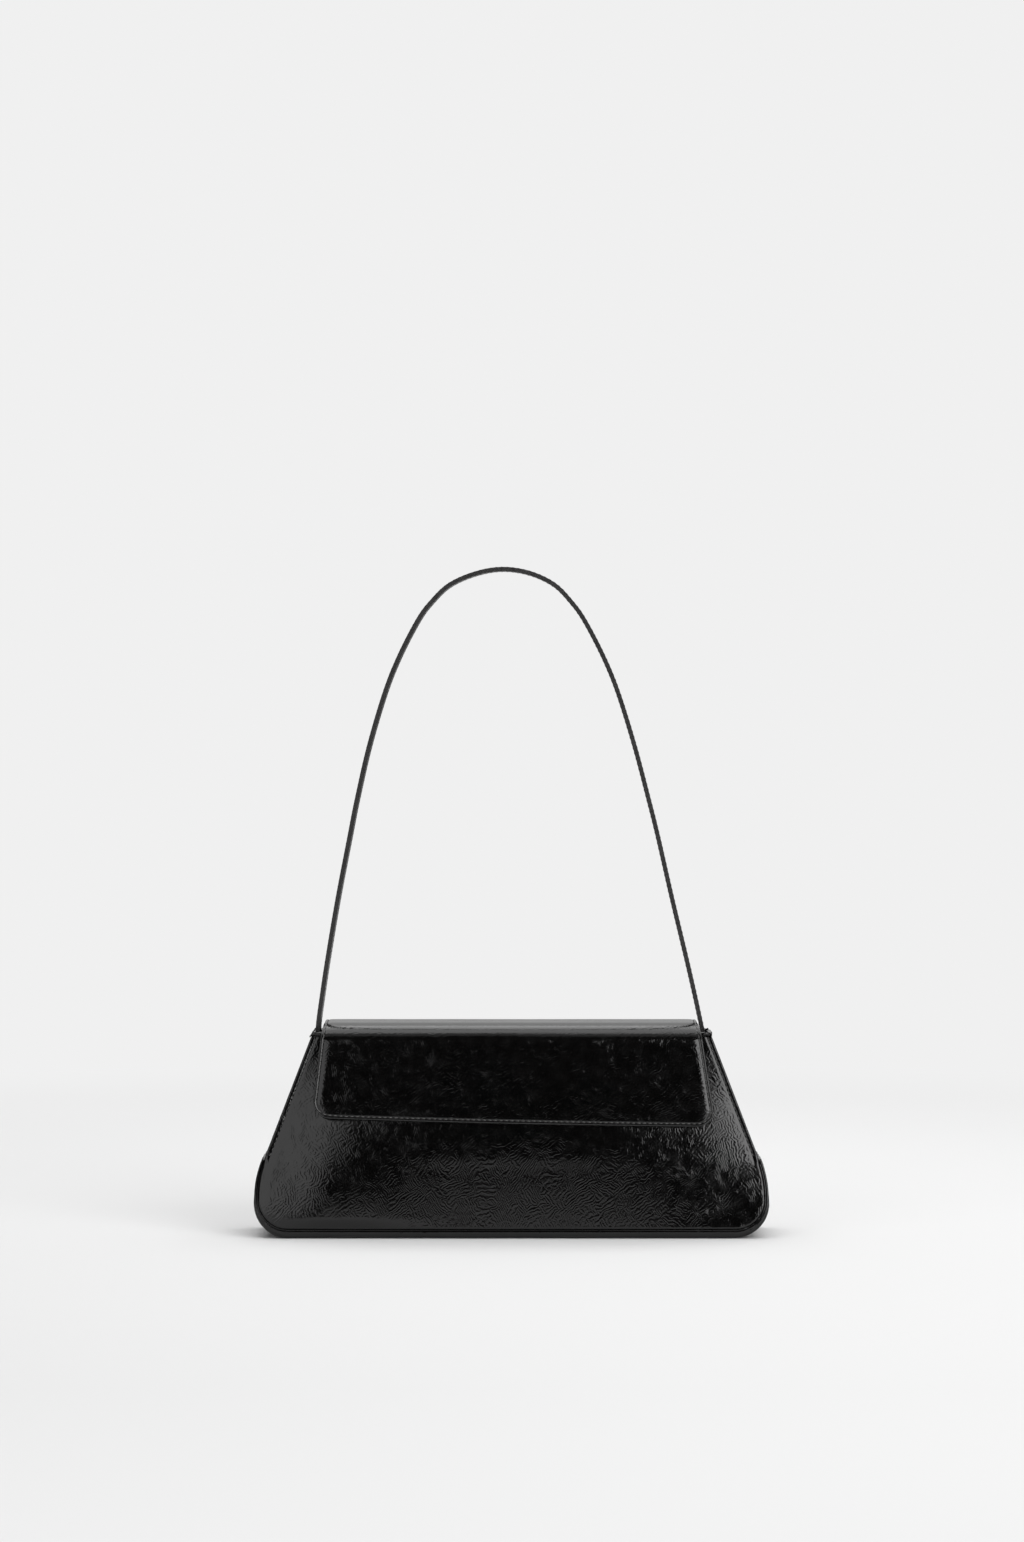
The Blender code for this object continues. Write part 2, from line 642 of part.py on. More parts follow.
def build_snap(bag, flap):
    """Socket with its magnet on the front panel, stud on the flap, and a washer behind each."""
    radius = SNAP_DIAMETER / 2
    bore = SOCKET_BORE / 2
    axis = wall_normal(FRONT, 0, SNAP_HEIGHT)
    seat = wall_point(FRONT, 0, SNAP_HEIGHT, 0) + axis * CLEARANCE
    face = MAGNET_THICKNESS + SNAP_FIT
    cup = face + SNAP_WALL
    wall = radius - SNAP_WALL
    profile = ((radius, 0), (radius, cup), (bore, cup), (bore, face), (wall, face), (wall, 0))
    turned("snap_socket", profile, BRIGHT_METAL, bag, seat, axis)
    rim = wall - SNAP_FIT
    ring = ((rim, 0), (rim, MAGNET_THICKNESS), (bore, MAGNET_THICKNESS), (bore, 0))
    turned("snap_magnet", ring, DARK_MAGNET, bag, seat, axis)
    inside = wall_point(FRONT, 0, SNAP_HEIGHT, FACING_DEPTH)
    washer = WASHER_DIAMETER / 2
    hole = WASHER_BORE / 2
    plate = ((hole, 0), (washer, 0), (washer, STIFFENER_BOARD), (hole, STIFFENER_BOARD))
    turned("socket_washer", plate, BRIGHT_METAL, bag, inside - axis * STIFFENER_BOARD, axis)

    inward = Vector((0, math.cos(FLAP_LEAN), -math.sin(FLAP_LEAN)))
    lining = flap_point(0, snap_run(), -FLAP_HALF_THICKNESS - CLEARANCE)
    shape = bmesh.new()
    bmesh.ops.create_cone(
        shape,
        cap_ends=True,
        segments=ROUND_STEPS,
        radius1=radius,
        radius2=radius,
        depth=STUD_DISC,
    )
    bmesh.ops.translate(shape, verts=shape.verts, vec=(0, 0, STUD_DISC / 2))
    disc = max(shape.faces, key=lambda item: item.calc_center_median().z)
    bmesh.ops.inset_region(shape, faces=[disc], thickness=radius - STUD_POST_DIAMETER / 2)
    post = bmesh.ops.extrude_face_region(shape, geom=[disc])
    tip = [item for item in post["geom"] if isinstance(item, bmesh.types.BMVert)]
    bmesh.ops.translate(shape, verts=tip, vec=(0, 0, STUD_POST_HEIGHT))
    if disc.is_valid:
        bmesh.ops.delete(shape, geom=[disc], context="FACES_ONLY")
    add_node("snap_stud", shape, BRIGHT_METAL, flap, lining, inward.to_track_quat("Z", "Y"))
    board_low = FLAP_HALF_THICKNESS - FLAP_LEATHER - CLEARANCE - FLAP_BOARD
    under = flap_point(0, snap_run(), board_low)
    plate = ((hole, 0), (washer, 0), (washer, FLAP_BOARD), (hole, FLAP_BOARD))
    turned("stud_washer", plate, BRIGHT_METAL, flap, under, -inward)


# Strap

def smoothed(points, count):
    """Points on a smooth curve through the given ones, and the index of each given one."""
    curve = []
    marks = []
    for index in range(len(points) - 1):
        before = points[max(index - 1, 0)]
        start = points[index]
        end = points[index + 1]
        after = points[min(index + 2, len(points) - 1)]
        marks.append(len(curve))
        for step in range(count):
            t = step / count
            pull_start = (end - before) / 2
            pull_end = (after - start) / 2
            a = 2 * t**3 - 3 * t**2 + 1
            b = t**3 - 2 * t**2 + t
            c = 3 * t**2 - 2 * t**3
            d = t**3 - t**2
            curve.append(start * a + pull_start * b + end * c + pull_end * d)
    marks.append(len(curve))
    curve.append(points[-1])
    return curve, marks


def strap_route():
    """The middle of the strap from the left root over the top to the right root."""
    left = []
    right = []
    for height, left_share, right_share in STRAP_ROUTE_SHARES:
        z = STRAP_ROOT_HEIGHT + height * STRAP_RISE
        left.append(Vector((-left_share * STRAP_HALF_SPAN, 0, z)))
        right.append(Vector((right_share * STRAP_HALF_SPAN, 0, z)))
    top = Vector((STRAP_TOP_SHARE * STRAP_HALF_SPAN, 0, STRAP_TOP_HEIGHT))
    return smoothed(left + [top] + right[::-1], STEPS_PER_POINT)


def tail_route(side):
    """The strap's end inside the bag, up along the gusset to the strap's root."""
    curve, marks = strap_route()
    root = curve[0] if side == LEFT else curve[-1]
    inset = half_width(STRAP_ROOT_HEIGHT) - abs(root.x)
    levels = steps(STRAP_ROOT_HEIGHT - STRAP_TAIL_HEIGHT, STRAP_ROOT_HEIGHT, WALL_STEPS)[:-1]
    below = [Vector((side * (half_width(z) - side_sag(z) - inset), 0, z)) for z in levels]
    return below + [root]


def strap_piece(name, route, outer, inner, body):
    """A length of one strap layer between two distances from the strap's middle."""
    frames = []
    for index, point in enumerate(route):
        before = route[max(index - 1, 0)]
        after = route[min(index + 1, len(route) - 1)]
        along = (after - before).normalized()
        frames.append((point, Vector((-along.z, 0, along.x)), along))

    def place(index, share, layer):
        point, outward, along = frames[index]
        trim = 0.0
        if index == 0:
            trim = CLEARANCE / 2
        if index == len(frames) - 1:
            trim = -CLEARANCE / 2
        reach = outer + (inner - outer) * layer
        return point + outward * reach + along * trim + Vector((0, share * STRAP_WIDTH / 2, 0))

    return slab(name, range(len(route)), (-1, 1), place, BLACK_LEATHER, body)


def build_strap(bag, strap):
    """Tails in the bag, legs that bend, and the arch, each leg and the arch in two layers."""
    curve, marks = strap_route()
    half = STRAP_THICKNESS / 2
    skin = half - STRAP_LEATHER
    top_left = marks[LEG_POINT_COUNT]
    top_right = marks[-1 - LEG_POINT_COUNT]
    stretches = (
        ("strap_left_leg", curve[: top_left + 1]),
        ("strap_arch", curve[top_left : top_right + 1]),
        ("strap_right_leg", curve[top_right:]),
    )
    for name, route in stretches:
        strap_piece(f"{name}_outer", route, half, skin, strap)
        strap_piece(f"{name}_inner", route, -skin, -half, strap)
    strap_piece("left_strap_tail", tail_route(LEFT), half, -half, bag)
    strap_piece("right_strap_tail", tail_route(RIGHT)[::-1], half, -half, bag)


def main():
    clear_scene()
    bag = add_body("bag_body", Vector((0, 0, 0)))
    flap = add_body("flap_hinge_line", hinge_point())
    strap = add_body("strap_pivot_line", Vector((0, 0, PIVOT_HEIGHT)))
    build_panels(bag)
    build_base(bag)
    build_gussets(bag)
    build_hems(bag)
    build_lining(bag)
    build_flap(bag, flap)
    build_snap(bag, flap)
    build_strap(bag, strap)


main()
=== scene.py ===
# %% [markdown]
# # A small shoulder bag in glossy crinkled leather
#
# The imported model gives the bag's construction: leathers, linings, boards, the magnetic snap and the two
# joints. This notebook dresses it. Every leather of the real bag is soft, so each one gets a finely
# divided mesh of its own that sags, rolls in at its seams and carries its stitches. The hard pieces, such
# as the snap, stay as the model has them and only get a finish.

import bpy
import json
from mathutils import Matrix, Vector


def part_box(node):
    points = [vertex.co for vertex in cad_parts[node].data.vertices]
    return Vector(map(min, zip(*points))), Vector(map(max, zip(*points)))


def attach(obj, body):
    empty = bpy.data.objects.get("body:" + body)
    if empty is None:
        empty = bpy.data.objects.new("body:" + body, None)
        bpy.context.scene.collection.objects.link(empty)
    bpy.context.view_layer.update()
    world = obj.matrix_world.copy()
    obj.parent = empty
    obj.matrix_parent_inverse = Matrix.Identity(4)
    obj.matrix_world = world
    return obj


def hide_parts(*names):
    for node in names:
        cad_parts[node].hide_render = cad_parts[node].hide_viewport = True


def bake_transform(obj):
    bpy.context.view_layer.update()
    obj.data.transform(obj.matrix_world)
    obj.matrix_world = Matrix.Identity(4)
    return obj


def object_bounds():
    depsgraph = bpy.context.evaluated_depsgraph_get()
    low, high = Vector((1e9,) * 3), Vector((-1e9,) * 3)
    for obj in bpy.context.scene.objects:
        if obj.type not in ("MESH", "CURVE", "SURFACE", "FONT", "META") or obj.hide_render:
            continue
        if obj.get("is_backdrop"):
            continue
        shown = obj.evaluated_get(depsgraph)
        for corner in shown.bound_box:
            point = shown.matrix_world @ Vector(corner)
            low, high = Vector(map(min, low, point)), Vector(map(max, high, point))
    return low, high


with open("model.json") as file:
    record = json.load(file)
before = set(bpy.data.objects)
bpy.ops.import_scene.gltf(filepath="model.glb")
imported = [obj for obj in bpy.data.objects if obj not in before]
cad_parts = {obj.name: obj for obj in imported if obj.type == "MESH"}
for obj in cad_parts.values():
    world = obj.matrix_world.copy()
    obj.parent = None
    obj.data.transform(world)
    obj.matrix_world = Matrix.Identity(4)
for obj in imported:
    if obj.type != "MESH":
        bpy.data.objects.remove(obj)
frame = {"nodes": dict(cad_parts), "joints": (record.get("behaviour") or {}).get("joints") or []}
cad_low, cad_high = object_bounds()
print("solid model, mm:", [round(side * 1000, 1) for side in cad_high - cad_low])

# %% Tools and a few plain words
import json
import math

import bmesh
import bpy
from mathutils import Vector, noise

MM = 0.001
FRONT = -1
BACK = 1
LEFT = -1
RIGHT = 1
SIDES = (("left", LEFT), ("right", RIGHT))
WALLS = (("front", FRONT), ("back", BACK))


def placed(name, data):
    """An object of its own in the scene."""
    made = bpy.data.objects.new(name, data)
    bpy.context.scene.collection.objects.link(made)
    return made


# %% [markdown]
# ## Camera
#
# The photograph was taken with a long lens from a little above two metres away. The lens stands at the
# height of the picture's middle and looks straight ahead, so that the flap's top is seen from above and the
# top of the strap from below. No tilt and no shift are needed.

# %% Camera
PICTURE_HEIGHT_PX = 1542
PICTURE_MIDDLE_PX = 512.0
BAG_MIDDLE_PX = 511.5
MM_PER_PX = 0.5505
SENSOR = 36.0
CAMERA_DISTANCE = 2200 * MM
CAMERA_HEIGHT = 254.0 * MM

camera_data = bpy.data.cameras.new("studio_camera")
camera_data.sensor_width = SENSOR
camera_data.lens = SENSOR * CAMERA_DISTANCE / (PICTURE_HEIGHT_PX * MM_PER_PX * MM)
camera = placed("studio_camera", camera_data)
camera_x = (PICTURE_MIDDLE_PX - BAG_MIDDLE_PX) * MM_PER_PX * MM
camera.location = (camera_x, -CAMERA_DISTANCE, CAMERA_HEIGHT)
camera.rotation_euler = (math.pi / 2, 0, 0)
bpy.context.scene.camera = camera
print("lens, mm:", round(camera_data.lens, 1))

# %% [markdown]
# ## Measures from the frame
#
# The new leathers have to lie where the solids lie. So nothing is measured twice: heights, widths and
# depths are read from the corners of the frame's own pieces, and the joints give the flap's hinge line and
# the line about which the strap falls.

# %% Measures
def outer_corner(node, z):
    """Distance from the middle, in X and in Y, of a node's outermost corner at a height."""
    near = 0.05 * MM
    points = [corner.co for corner in frame["nodes"][node].data.vertices if abs(corner.co.z - z) < near]
    reach = max(abs(point.x) for point in points)
    depth = max(abs(point.y) for point in points if abs(point.x) > reach - near)
    return reach, depth


joints = {joint["name"]: joint for joint in frame["joints"]}
HINGE = Vector(joints["flap_hinge"]["pos_m"])
PIVOT = Vector(joints["strap_swing"]["pos_m"])
PANEL_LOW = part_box("front_panel")[0].z
PANEL_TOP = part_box("front_panel")[1].z
STRIP_PROUD = 1.2 * MM
SOLID_STRIP_PROUD = 2.0 * MM
BELLY_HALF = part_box("front_panel")[1].x + SOLID_STRIP_PROUD - STRIP_PROUD
STEP_HEIGHT = 42.0 * MM
MOUTH_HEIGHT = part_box("front_hem")[1].z
LOW_DEPTH = outer_corner("front_panel", PANEL_LOW)[1]
STEP_HALF = outer_corner("front_panel", STEP_HEIGHT)[0]
TOP_HALF, TOP_DEPTH = outer_corner("front_panel", PANEL_TOP)
SIDE_SLOPE = (STEP_HALF - TOP_HALF) / (PANEL_TOP - STEP_HEIGHT)
CORNER_RADIUS = 17.3 * MM
BELLY_HEIGHT = 22.0 * MM
CORNER_TOP = PANEL_LOW + CORNER_RADIUS
EASE_POWER = SIDE_SLOPE * (STEP_HEIGHT - BELLY_HEIGHT) / (BELLY_HALF - STEP_HALF)
print("mouth height and half width, mm:", round(MOUTH_HEIGHT / MM, 1), round(TOP_HALF / MM, 1))

# %% [markdown]
# ## The outline and the fall of the body
#
# Seen from the front the bag is a trapezoid with round lower corners. A step 42 mm up marks where the base
# strip ends. Seen from the side the walls lean together towards the mouth, and the leather between the
# seams swells outwards because the bag is soft. A few small formulas hold all this, so that panels,
# linings and seams agree everywhere.

# %% Shape of the body
SWELL = 4.8 * MM
SWELL_WIDTH_POWER = 2.5
SWELL_SHARES = (
    (0.000, 0.16),
    (0.075, 0.30),
    (0.190, 0.52),
    (0.300, 0.72),
    (0.385, 0.88),
    (0.510, 1.00),
    (0.640, 0.93),
    (0.800, 0.60),
    (0.920, 0.24),
    (1.000, 0.00),
)
FLANGE = 4.2 * MM
STEP_EASE = 8.0 * MM


def clamp(value):
    return min(max(value, 0.0), 1.0)


def smooth(value):
    """A soft step from 0 to 1."""
    share = clamp(value)
    return share * share * (3 - 2 * share)


def steps(low, high, count):
    """Evenly spaced values from low to high, both included."""
    return [low + (high - low) * index / count for index in range(count + 1)]


def smooth_share(table, share):
    """A soft curve through the rows of a table of shares."""
    share = clamp(share)
    index = max(row for row in range(len(table) - 1) if table[row][0] <= share)
    before, start, end, after = (table[min(max(index + k, 0), len(table) - 1)] for k in (-1, 0, 1, 2))
    width = end[0] - start[0]
    t = (share - start[0]) / width
    rise = (end[1] - before[1]) / (end[0] - before[0]) * width
    fall = (after[1] - start[1]) / (after[0] - start[0]) * width
    ease = t * t * (3 - 2 * t)
    return start[1] * (1 - ease) + end[1] * ease + rise * t * (1 - t) ** 2 - fall * t * t * (1 - t)


def half_width(z, inset=0.0):
    """Half the width of the panels at a height, or of an outline inside theirs."""
    if z < CORNER_TOP:
        radius = CORNER_RADIUS - inset
        drop = min(CORNER_TOP - z, radius)
        return BELLY_HALF - CORNER_RADIUS + math.sqrt(radius**2 - drop**2)
    if z < BELLY_HEIGHT:
        return BELLY_HALF - inset
    if z < STEP_HEIGHT:
        share = (z - BELLY_HEIGHT) / (STEP_HEIGHT - BELLY_HEIGHT)
        return BELLY_HALF - (BELLY_HALF - STEP_HALF) * share**EASE_POWER - inset
    return STEP_HALF - (z - STEP_HEIGHT) * SIDE_SLOPE - inset


def half_depth(z):
    """Half the depth of the body at a height, at the side edges of its walls."""
    share = (z - PANEL_LOW) / (PANEL_TOP - PANEL_LOW)
    return LOW_DEPTH + (TOP_DEPTH - LOW_DEPTH) * share


def above_step(z):
    """0 below the step of the body, 1 above it, with a soft change."""
    return smooth((z - STEP_HEIGHT) / STEP_EASE + 0.5)


def swell(x, z):
    """How far a wall swells outwards between its edges, which lie flat above the step."""
    share = clamp((z - PANEL_LOW) / (MOUTH_HEIGHT - PANEL_LOW))
    across = clamp(abs(x) / (half_width(z) - FLANGE * above_step(z)))
    return SWELL * (1 - across**SWELL_WIDTH_POWER) * smooth_share(SWELL_SHARES, share)


def edge_distance(x, z):
    """Distance from a point of a wall to the wall's side or bottom edge."""
    side = (half_width(z) - abs(x)) / math.sqrt(1 + SIDE_SLOPE**2)
    corner_x = abs(x) - (BELLY_HALF - CORNER_RADIUS)
    if z < CORNER_TOP and corner_x > 0:
        return CORNER_RADIUS - math.hypot(corner_x, CORNER_TOP - z)
    return min(side, z - PANEL_LOW)


print("depth of the walls half way up, mm:", round(2 * (half_depth(0.055) + swell(0, 0.055)) / MM, 1))

# %% [markdown]
# ## How a leather is made
#
# Each leather starts as a flat grid, which is extruded to give it a thickness. Its corners are then carried
# to their places by a rule, one for each piece: how far across, how far along, outer or inner face. A
# narrow bevel rounds the cut edges, because real leather never ends in a sharp line. A point attribute
# called rim says how near a point is to the edge, for the edge wear, the edge paint and the painted edge
# highlight of the material.

# %% From a grid to a leather
def thin_sheet(name, across, along, place, bevel, rim=None):
    """A closed sheet whose grid corners go where place(across, along, layer) says."""
    shape = bmesh.new()
    columns = len(across) - 1
    rows = len(along) - 1
    bmesh.ops.create_grid(shape, x_segments=columns, y_segments=rows, size=0.5)
    lifted = bmesh.ops.extrude_face_region(shape, geom=shape.faces[:])
    copies = [item for item in lifted["geom"] if isinstance(item, bmesh.types.BMVert)]
    bmesh.ops.translate(shape, verts=copies, vec=(0, 0, 1))
    sharp = [edge for edge in shape.edges if is_border(edge)]
    near_rim = shape.verts.layers.float.new("rim")
    for vertex in shape.verts:
        u = across[round((vertex.co.x + 0.5) * columns)]
        v = along[round((vertex.co.y + 0.5) * rows)]
        if rim:
            vertex[near_rim] = rim(u, v)
        vertex.co = place(u, v, vertex.co.z)
    bmesh.ops.bevel(
        shape,
        geom=sharp,
        offset=bevel,
        offset_type="OFFSET",
        segments=2,
        profile=0.5,
        affect="EDGES",
        clamp_overlap=True,
        material=-1,
    )
    return as_object(name, shape)


def is_border(edge):
    """True for the edges between a flat face and the rim of an extruded grid."""
    flat = [abs(face.normal.z) > 0.5 for face in edge.link_faces]
    return len(flat) == 2 and flat[0] != flat[1]


SHARP_ANGLE = math.radians(50)


def as_object(name, shape):
    """Turn a bmesh into an object whose faces point outwards."""
    bmesh.ops.recalc_face_normals(shape, faces=shape.faces)
    if shape.calc_volume(signed=True) < 0:
        bmesh.ops.reverse_faces(shape, faces=shape.faces)
    mesh = bpy.data.meshes.new(name)
    shape.to_mesh(mesh)
    shape.free()
    mesh.shade_smooth()
    mesh.set_sharp_from_angle(angle=SHARP_ANGLE)
    return placed(name, mesh)


def dress(piece, finish, slot, *nodes, body="bag"):
    """Give a piece its finish and body, and let it stand for nodes; a piece shared by two bodies gets none.
    The slot is not used.
    """
    piece.data.materials.append(finish)
    if body:
        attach(piece, body)
    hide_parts(*nodes)
    print(piece.name, len(piece.data.polygons), "faces")


def crowded(low, high, middle_step, edge_step, edge_width):
    """Values from low to high, close together within a width of both ends."""
    edge_count = max(round(edge_width / edge_step), 1)
    middle_count = max(round((high - low - 2 * edge_width) / middle_step), 1)
    values = steps(low, low + edge_width, edge_count)
    values += steps(low + edge_width, high - edge_width, middle_count)[1:]
    return values + steps(high - edge_width, high, edge_count)[1:]


def ripple(point, wave, height):
    """A gentle unevenness of soft leather, of a wave length and a height."""
    return height * noise.noise(point / wave)


# %% [markdown]
# ## Glossy crinkled leather
#
# The bag's outside is a thin black leather with a lacquer finish that has been crushed, so that it is
# covered with fine irregular creases a millimetre or two apart. A bump made of nothing but noise looks
# like orange peel, and the borders of Voronoi cells look like crocodile. Creases are short lines that run
# in two directions, so the pattern is two sets of waves, turned against each other and bent by noise. A
# third noise chooses which set shows at each place, and a fourth how strongly. All finishes are written
# with the same few words, which the first cell defines.

# %% Recipes for finishes
class Recipe:
    """The nodes of a material or of the world, with a few short words for making them."""

    def __init__(self, owner):
        owner.use_nodes = True
        self.owner = owner
        self.tree = owner.node_tree

    def feed(self, socket, value):
        """Give a socket a plain value, or link another socket to it."""
        if isinstance(value, bpy.types.NodeSocket):
            self.tree.links.new(value, socket)
        else:
            socket.default_value = value

    def node(self, kind, settings=None, **inputs):
        """A node with its inputs fed by name, underscores for spaces."""
        made = self.tree.nodes.new("ShaderNode" + kind)
        for key, value in (settings or {}).items():
            setattr(made, key, value)
        for key, value in inputs.items():
            self.feed(made.inputs[key.replace("_", " ")], value)
        return made

    def result(self, kind, *values, **settings):
        """A node with its inputs fed in their order; gives its first output."""
        made = self.node(kind, settings)
        for socket, value in zip(made.inputs, values):
            self.feed(socket, value)
        return made.outputs[0]

    def plus(self, first, second, kind="Math"):
        return self.result(kind, first, second, operation="ADD")

    def times(self, first, second, kind="Math"):
        return self.result(kind, first, second, operation="MULTIPLY")

    def span(self, value, low, high, to_low, to_high):
        """Map a value from one range to another, held at its ends."""
        ends = {"From_Min": low, "From_Max": high, "To_Min": to_low, "To_Max": to_high}
        return self.node("MapRange", Value=value, **ends).outputs["Result"]

    def noise(self, scale, detail=2.0, vector=None):
        vector = self.place if vector is None else vector
        return self.node("TexNoise", Vector=vector, Scale=scale, Detail=detail).outputs["Fac"]

    def tones(self, factor, colour, dark, light):
        """A colour that goes from a darker to a lighter tone of itself."""
        ends = {"A": toned(colour, dark), "B": toned(colour, light)}
        return self.node("Mix", {"data_type": "RGBA"}, Factor=factor, **ends).outputs["Result"]

    def relief(self, height, distance):
        return self.node("Bump", Height=height, Distance=distance).outputs["Normal"]

    def finish(self, **sockets):
        """Feed the shader's own sockets; gives the material."""
        for key, value in sockets.items():
            self.feed(self.shader.inputs[key.replace("_", " ")], value)
        print(self.owner.name, "is made of", len(self.tree.nodes), "nodes")
        return self.owner


def toned(colour, share, lift=0.0):
    return (*[part * share + lift for part in colour], 1.0)


def new_material(name):
    recipe = Recipe(bpy.data.materials.new(name))
    recipe.shader = recipe.tree.nodes["Principled BSDF"]
    recipe.place = recipe.node("TexCoord").outputs["Object"]
    return recipe


# %% Crinkled leather
WAVE_LENGTH = 0.314
CREASE_TURNS = ((30, 1.0), (-56, 1.15))


def crinkled_leather(name, colour, roughness, crease_height, crease_gap):
    """Lacquered leather; crease_gap is the distance between two creases."""
    recipe = new_material(name)

    def bend(vector, scale, detail, reach):
        """Push the points of a pattern about by a coloured noise."""
        colours = recipe.node("TexNoise", Vector=recipe.place, Scale=scale, Detail=detail).outputs["Color"]
        centred = recipe.result("VectorMath", colours, (0.5, 0.5, 0.5), operation="SUBTRACT")
        return recipe.plus(vector, recipe.times(centred, (reach, reach, reach), "VectorMath"), "VectorMath")

    bent = bend(bend(recipe.place, 38.0, 1.0, 0.020), 300.0, 2.0, 0.0032)
    sets = []
    for turn, wider in CREASE_TURNS:
        turned = recipe.node("Mapping", Vector=bent, Rotation=(math.radians(45), math.radians(turn), 0.0))
        unrest = {"Distortion": 2.6, "Detail": 1.5, "Detail_Scale": 1.7}
        scale = WAVE_LENGTH / (crease_gap * wider)
        waves = recipe.node("TexWave", Vector=turned.outputs[0], Scale=scale, **unrest)
        sets.append(waves.outputs["Fac"])
    share = recipe.span(recipe.noise(190.0, 1.0), 0.44, 0.56, 0.0, 1.0)
    lines = recipe.node("Mix", Factor=share, A=sets[0], B=sets[1]).outputs["Result"]
    strong = recipe.span(recipe.noise(240.0), 0.34, 0.62, 0.45, 1.0)
    fine = recipe.times(lines, strong)
    grain = recipe.noise(1500.0)
    swells = recipe.noise(150.0, 1.0)
    height = recipe.plus(recipe.plus(fine, recipe.times(grain, 0.12)), recipe.times(swells, 0.2))

    # Painted highlight and wear: near the cut edges (the rim attribute) the colour turns lighter. This stands
    # for some real edge wear and for the highlight that the rounded edges catch.
    rim = recipe.node("Attribute", {"attribute_name": "rim"}).outputs["Fac"]
    wear_and_edge_highlight = recipe.times(rim, recipe.noise(260.0))
    # Painted shade: the base tone follows the crease relief and is darker in the low parts of the creases.
    worn_and_highlit_edge = {"Factor": wear_and_edge_highlight, "A": recipe.tones(fine, colour, 0.6, 1.0), "B": toned(colour, 2.6, 0.022)}
    shade = recipe.node("Mix", {"data_type": "RGBA"}, **worn_and_highlit_edge).outputs["Result"]
    gloss = recipe.span(swells, 0.3, 0.7, roughness - 0.03, roughness + 0.04)
    gloss = recipe.plus(gloss, recipe.times(wear_and_edge_highlight, 0.12))
    normal = recipe.relief(height, crease_height)
    return recipe.finish(Base_Color=shade, Roughness=gloss, Normal=normal, IOR=1.45)


BAG_LEATHER = crinkled_leather("crinkled_leather", (0.0018, 0.0017, 0.0017), 0.115, 0.032 * MM, 1.4 * MM)

# %% [markdown]
# The strap, the hems and the bag's inside are cut from quieter leathers: smoother, with small pores, and
# less glossy. One recipe serves them all.

# %% Smooth leather
def smooth_leather(name, colour, roughness, pore_height):
    recipe = new_material(name)
    pores = recipe.node("TexVoronoi", Vector=recipe.place, Scale=1300.0).outputs["Distance"]
    cloud = recipe.noise(190.0, 4.0)
    normal = recipe.relief(recipe.plus(pores, cloud), pore_height)
    gloss = recipe.span(cloud, 0.3, 0.7, roughness - 0.04, roughness + 0.06)
    shade = recipe.tones(cloud, colour, 0.75, 1.3)
    return recipe.finish(Base_Color=shade, Roughness=gloss, Normal=normal, IOR=1.5)


STRAP_FINISH = smooth_leather("strap_leather", (0.0065, 0.006, 0.006), 0.34, 0.05 * MM)
INNER_FINISH = smooth_leather("inner_leather", (0.012, 0.011, 0.011), 0.46, 0.05 * MM)

# %% [markdown]
# ## Front and back walls
#
# The walls are the largest leathers. At the bottom and round the lower corners they roll in to the seam
# with the base strip, which leaves a dark valley. Above the step their side edges are sewn to the gussets
# a few millimetres in, so a shallow groove runs beside each edge and the edge itself stands up.

# %% Walls
LEATHER = 1.4 * MM
SEAM_ROLL = 1.1 * MM
SEAM_LINE = 0.8 * MM
RIM_ROLL = 0.6 * MM
GROOVE_IN = 2.7 * MM
GROOVE_WIDTH = 0.7 * MM
GROOVE_DEPTH = 0.22 * MM
WALL_WAVES = ((0.3, 42 * MM, 0.09 * MM), (0.7, 9 * MM, 0.01 * MM))
HELD_BESIDE = 7 * MM
WALL_STEPS = {"middle_step": 0.0145, "edge_step": 0.0028, "edge_width": 0.056}
SEAM_LIP = 1.6 * MM
# Strength and width of the rim value on the walls, which lightens the colour near their edges: some edge wear
# and a painted highlight.
WALL_WEAR_AND_HIGHLIGHT = 0.25
WEAR_AND_HIGHLIGHT_WIDTH = 0.9 * MM
DENTS = (
    (-98.0, 22.0, 30.0, -1.6),
    (117.0, 13.0, 10.0, 0.25),
)


def dent(x, z):
    """Shallow hollows and puffs near the lower corners: place, radius and depth in millimetres."""
    total = 0.0
    for across, up, radius, depth in DENTS:
        away = math.hypot(x / MM - across, z / MM - up) / radius
        total += depth * MM * math.exp(-(away**2))
    return total


def quarter_roll(gap, radius):
    """How far a face sinks where it rolls round an edge of a radius."""
    return radius - math.sqrt(max(radius**2 - max(radius - max(gap, 0.0), 0.0) ** 2, 0.0))


def seam_dip(x, z):
    """How far a wall's face sinks beside its seams."""
    above = above_step(z)
    gap = max(edge_distance(x, z) - SEAM_LINE * (1 - above), 0.0)
    groove = GROOVE_DEPTH * math.exp(-(((gap - GROOVE_IN) / GROOVE_WIDTH) ** 2))
    return quarter_roll(gap, SEAM_ROLL) * (1 - above) + (quarter_roll(gap, RIM_ROLL) + groove) * above


def wall_face(side, x, z):
    """A point on the outer face of the front or the back wall."""
    uneven = sum(ripple(Vector((x, side * start, z)), wave, height) for start, wave, height in WALL_WAVES)
    if side == FRONT:
        uneven -= dent(x, z)
    held = smooth(edge_distance(x, z) / HELD_BESIDE)
    y = half_depth(z) + swell(x, z) - seam_dip(x, z) + uneven * held
    return Vector((x, side * y, z))


# Painted highlight and wear: the rim value lightens the wall's colour close to its edges.
def wall_rim(u, z):
    return WALL_WEAR_AND_HIGHLIGHT * math.exp(-edge_distance(u * half_width(z), z) / WEAR_AND_HIGHLIGHT_WIDTH)


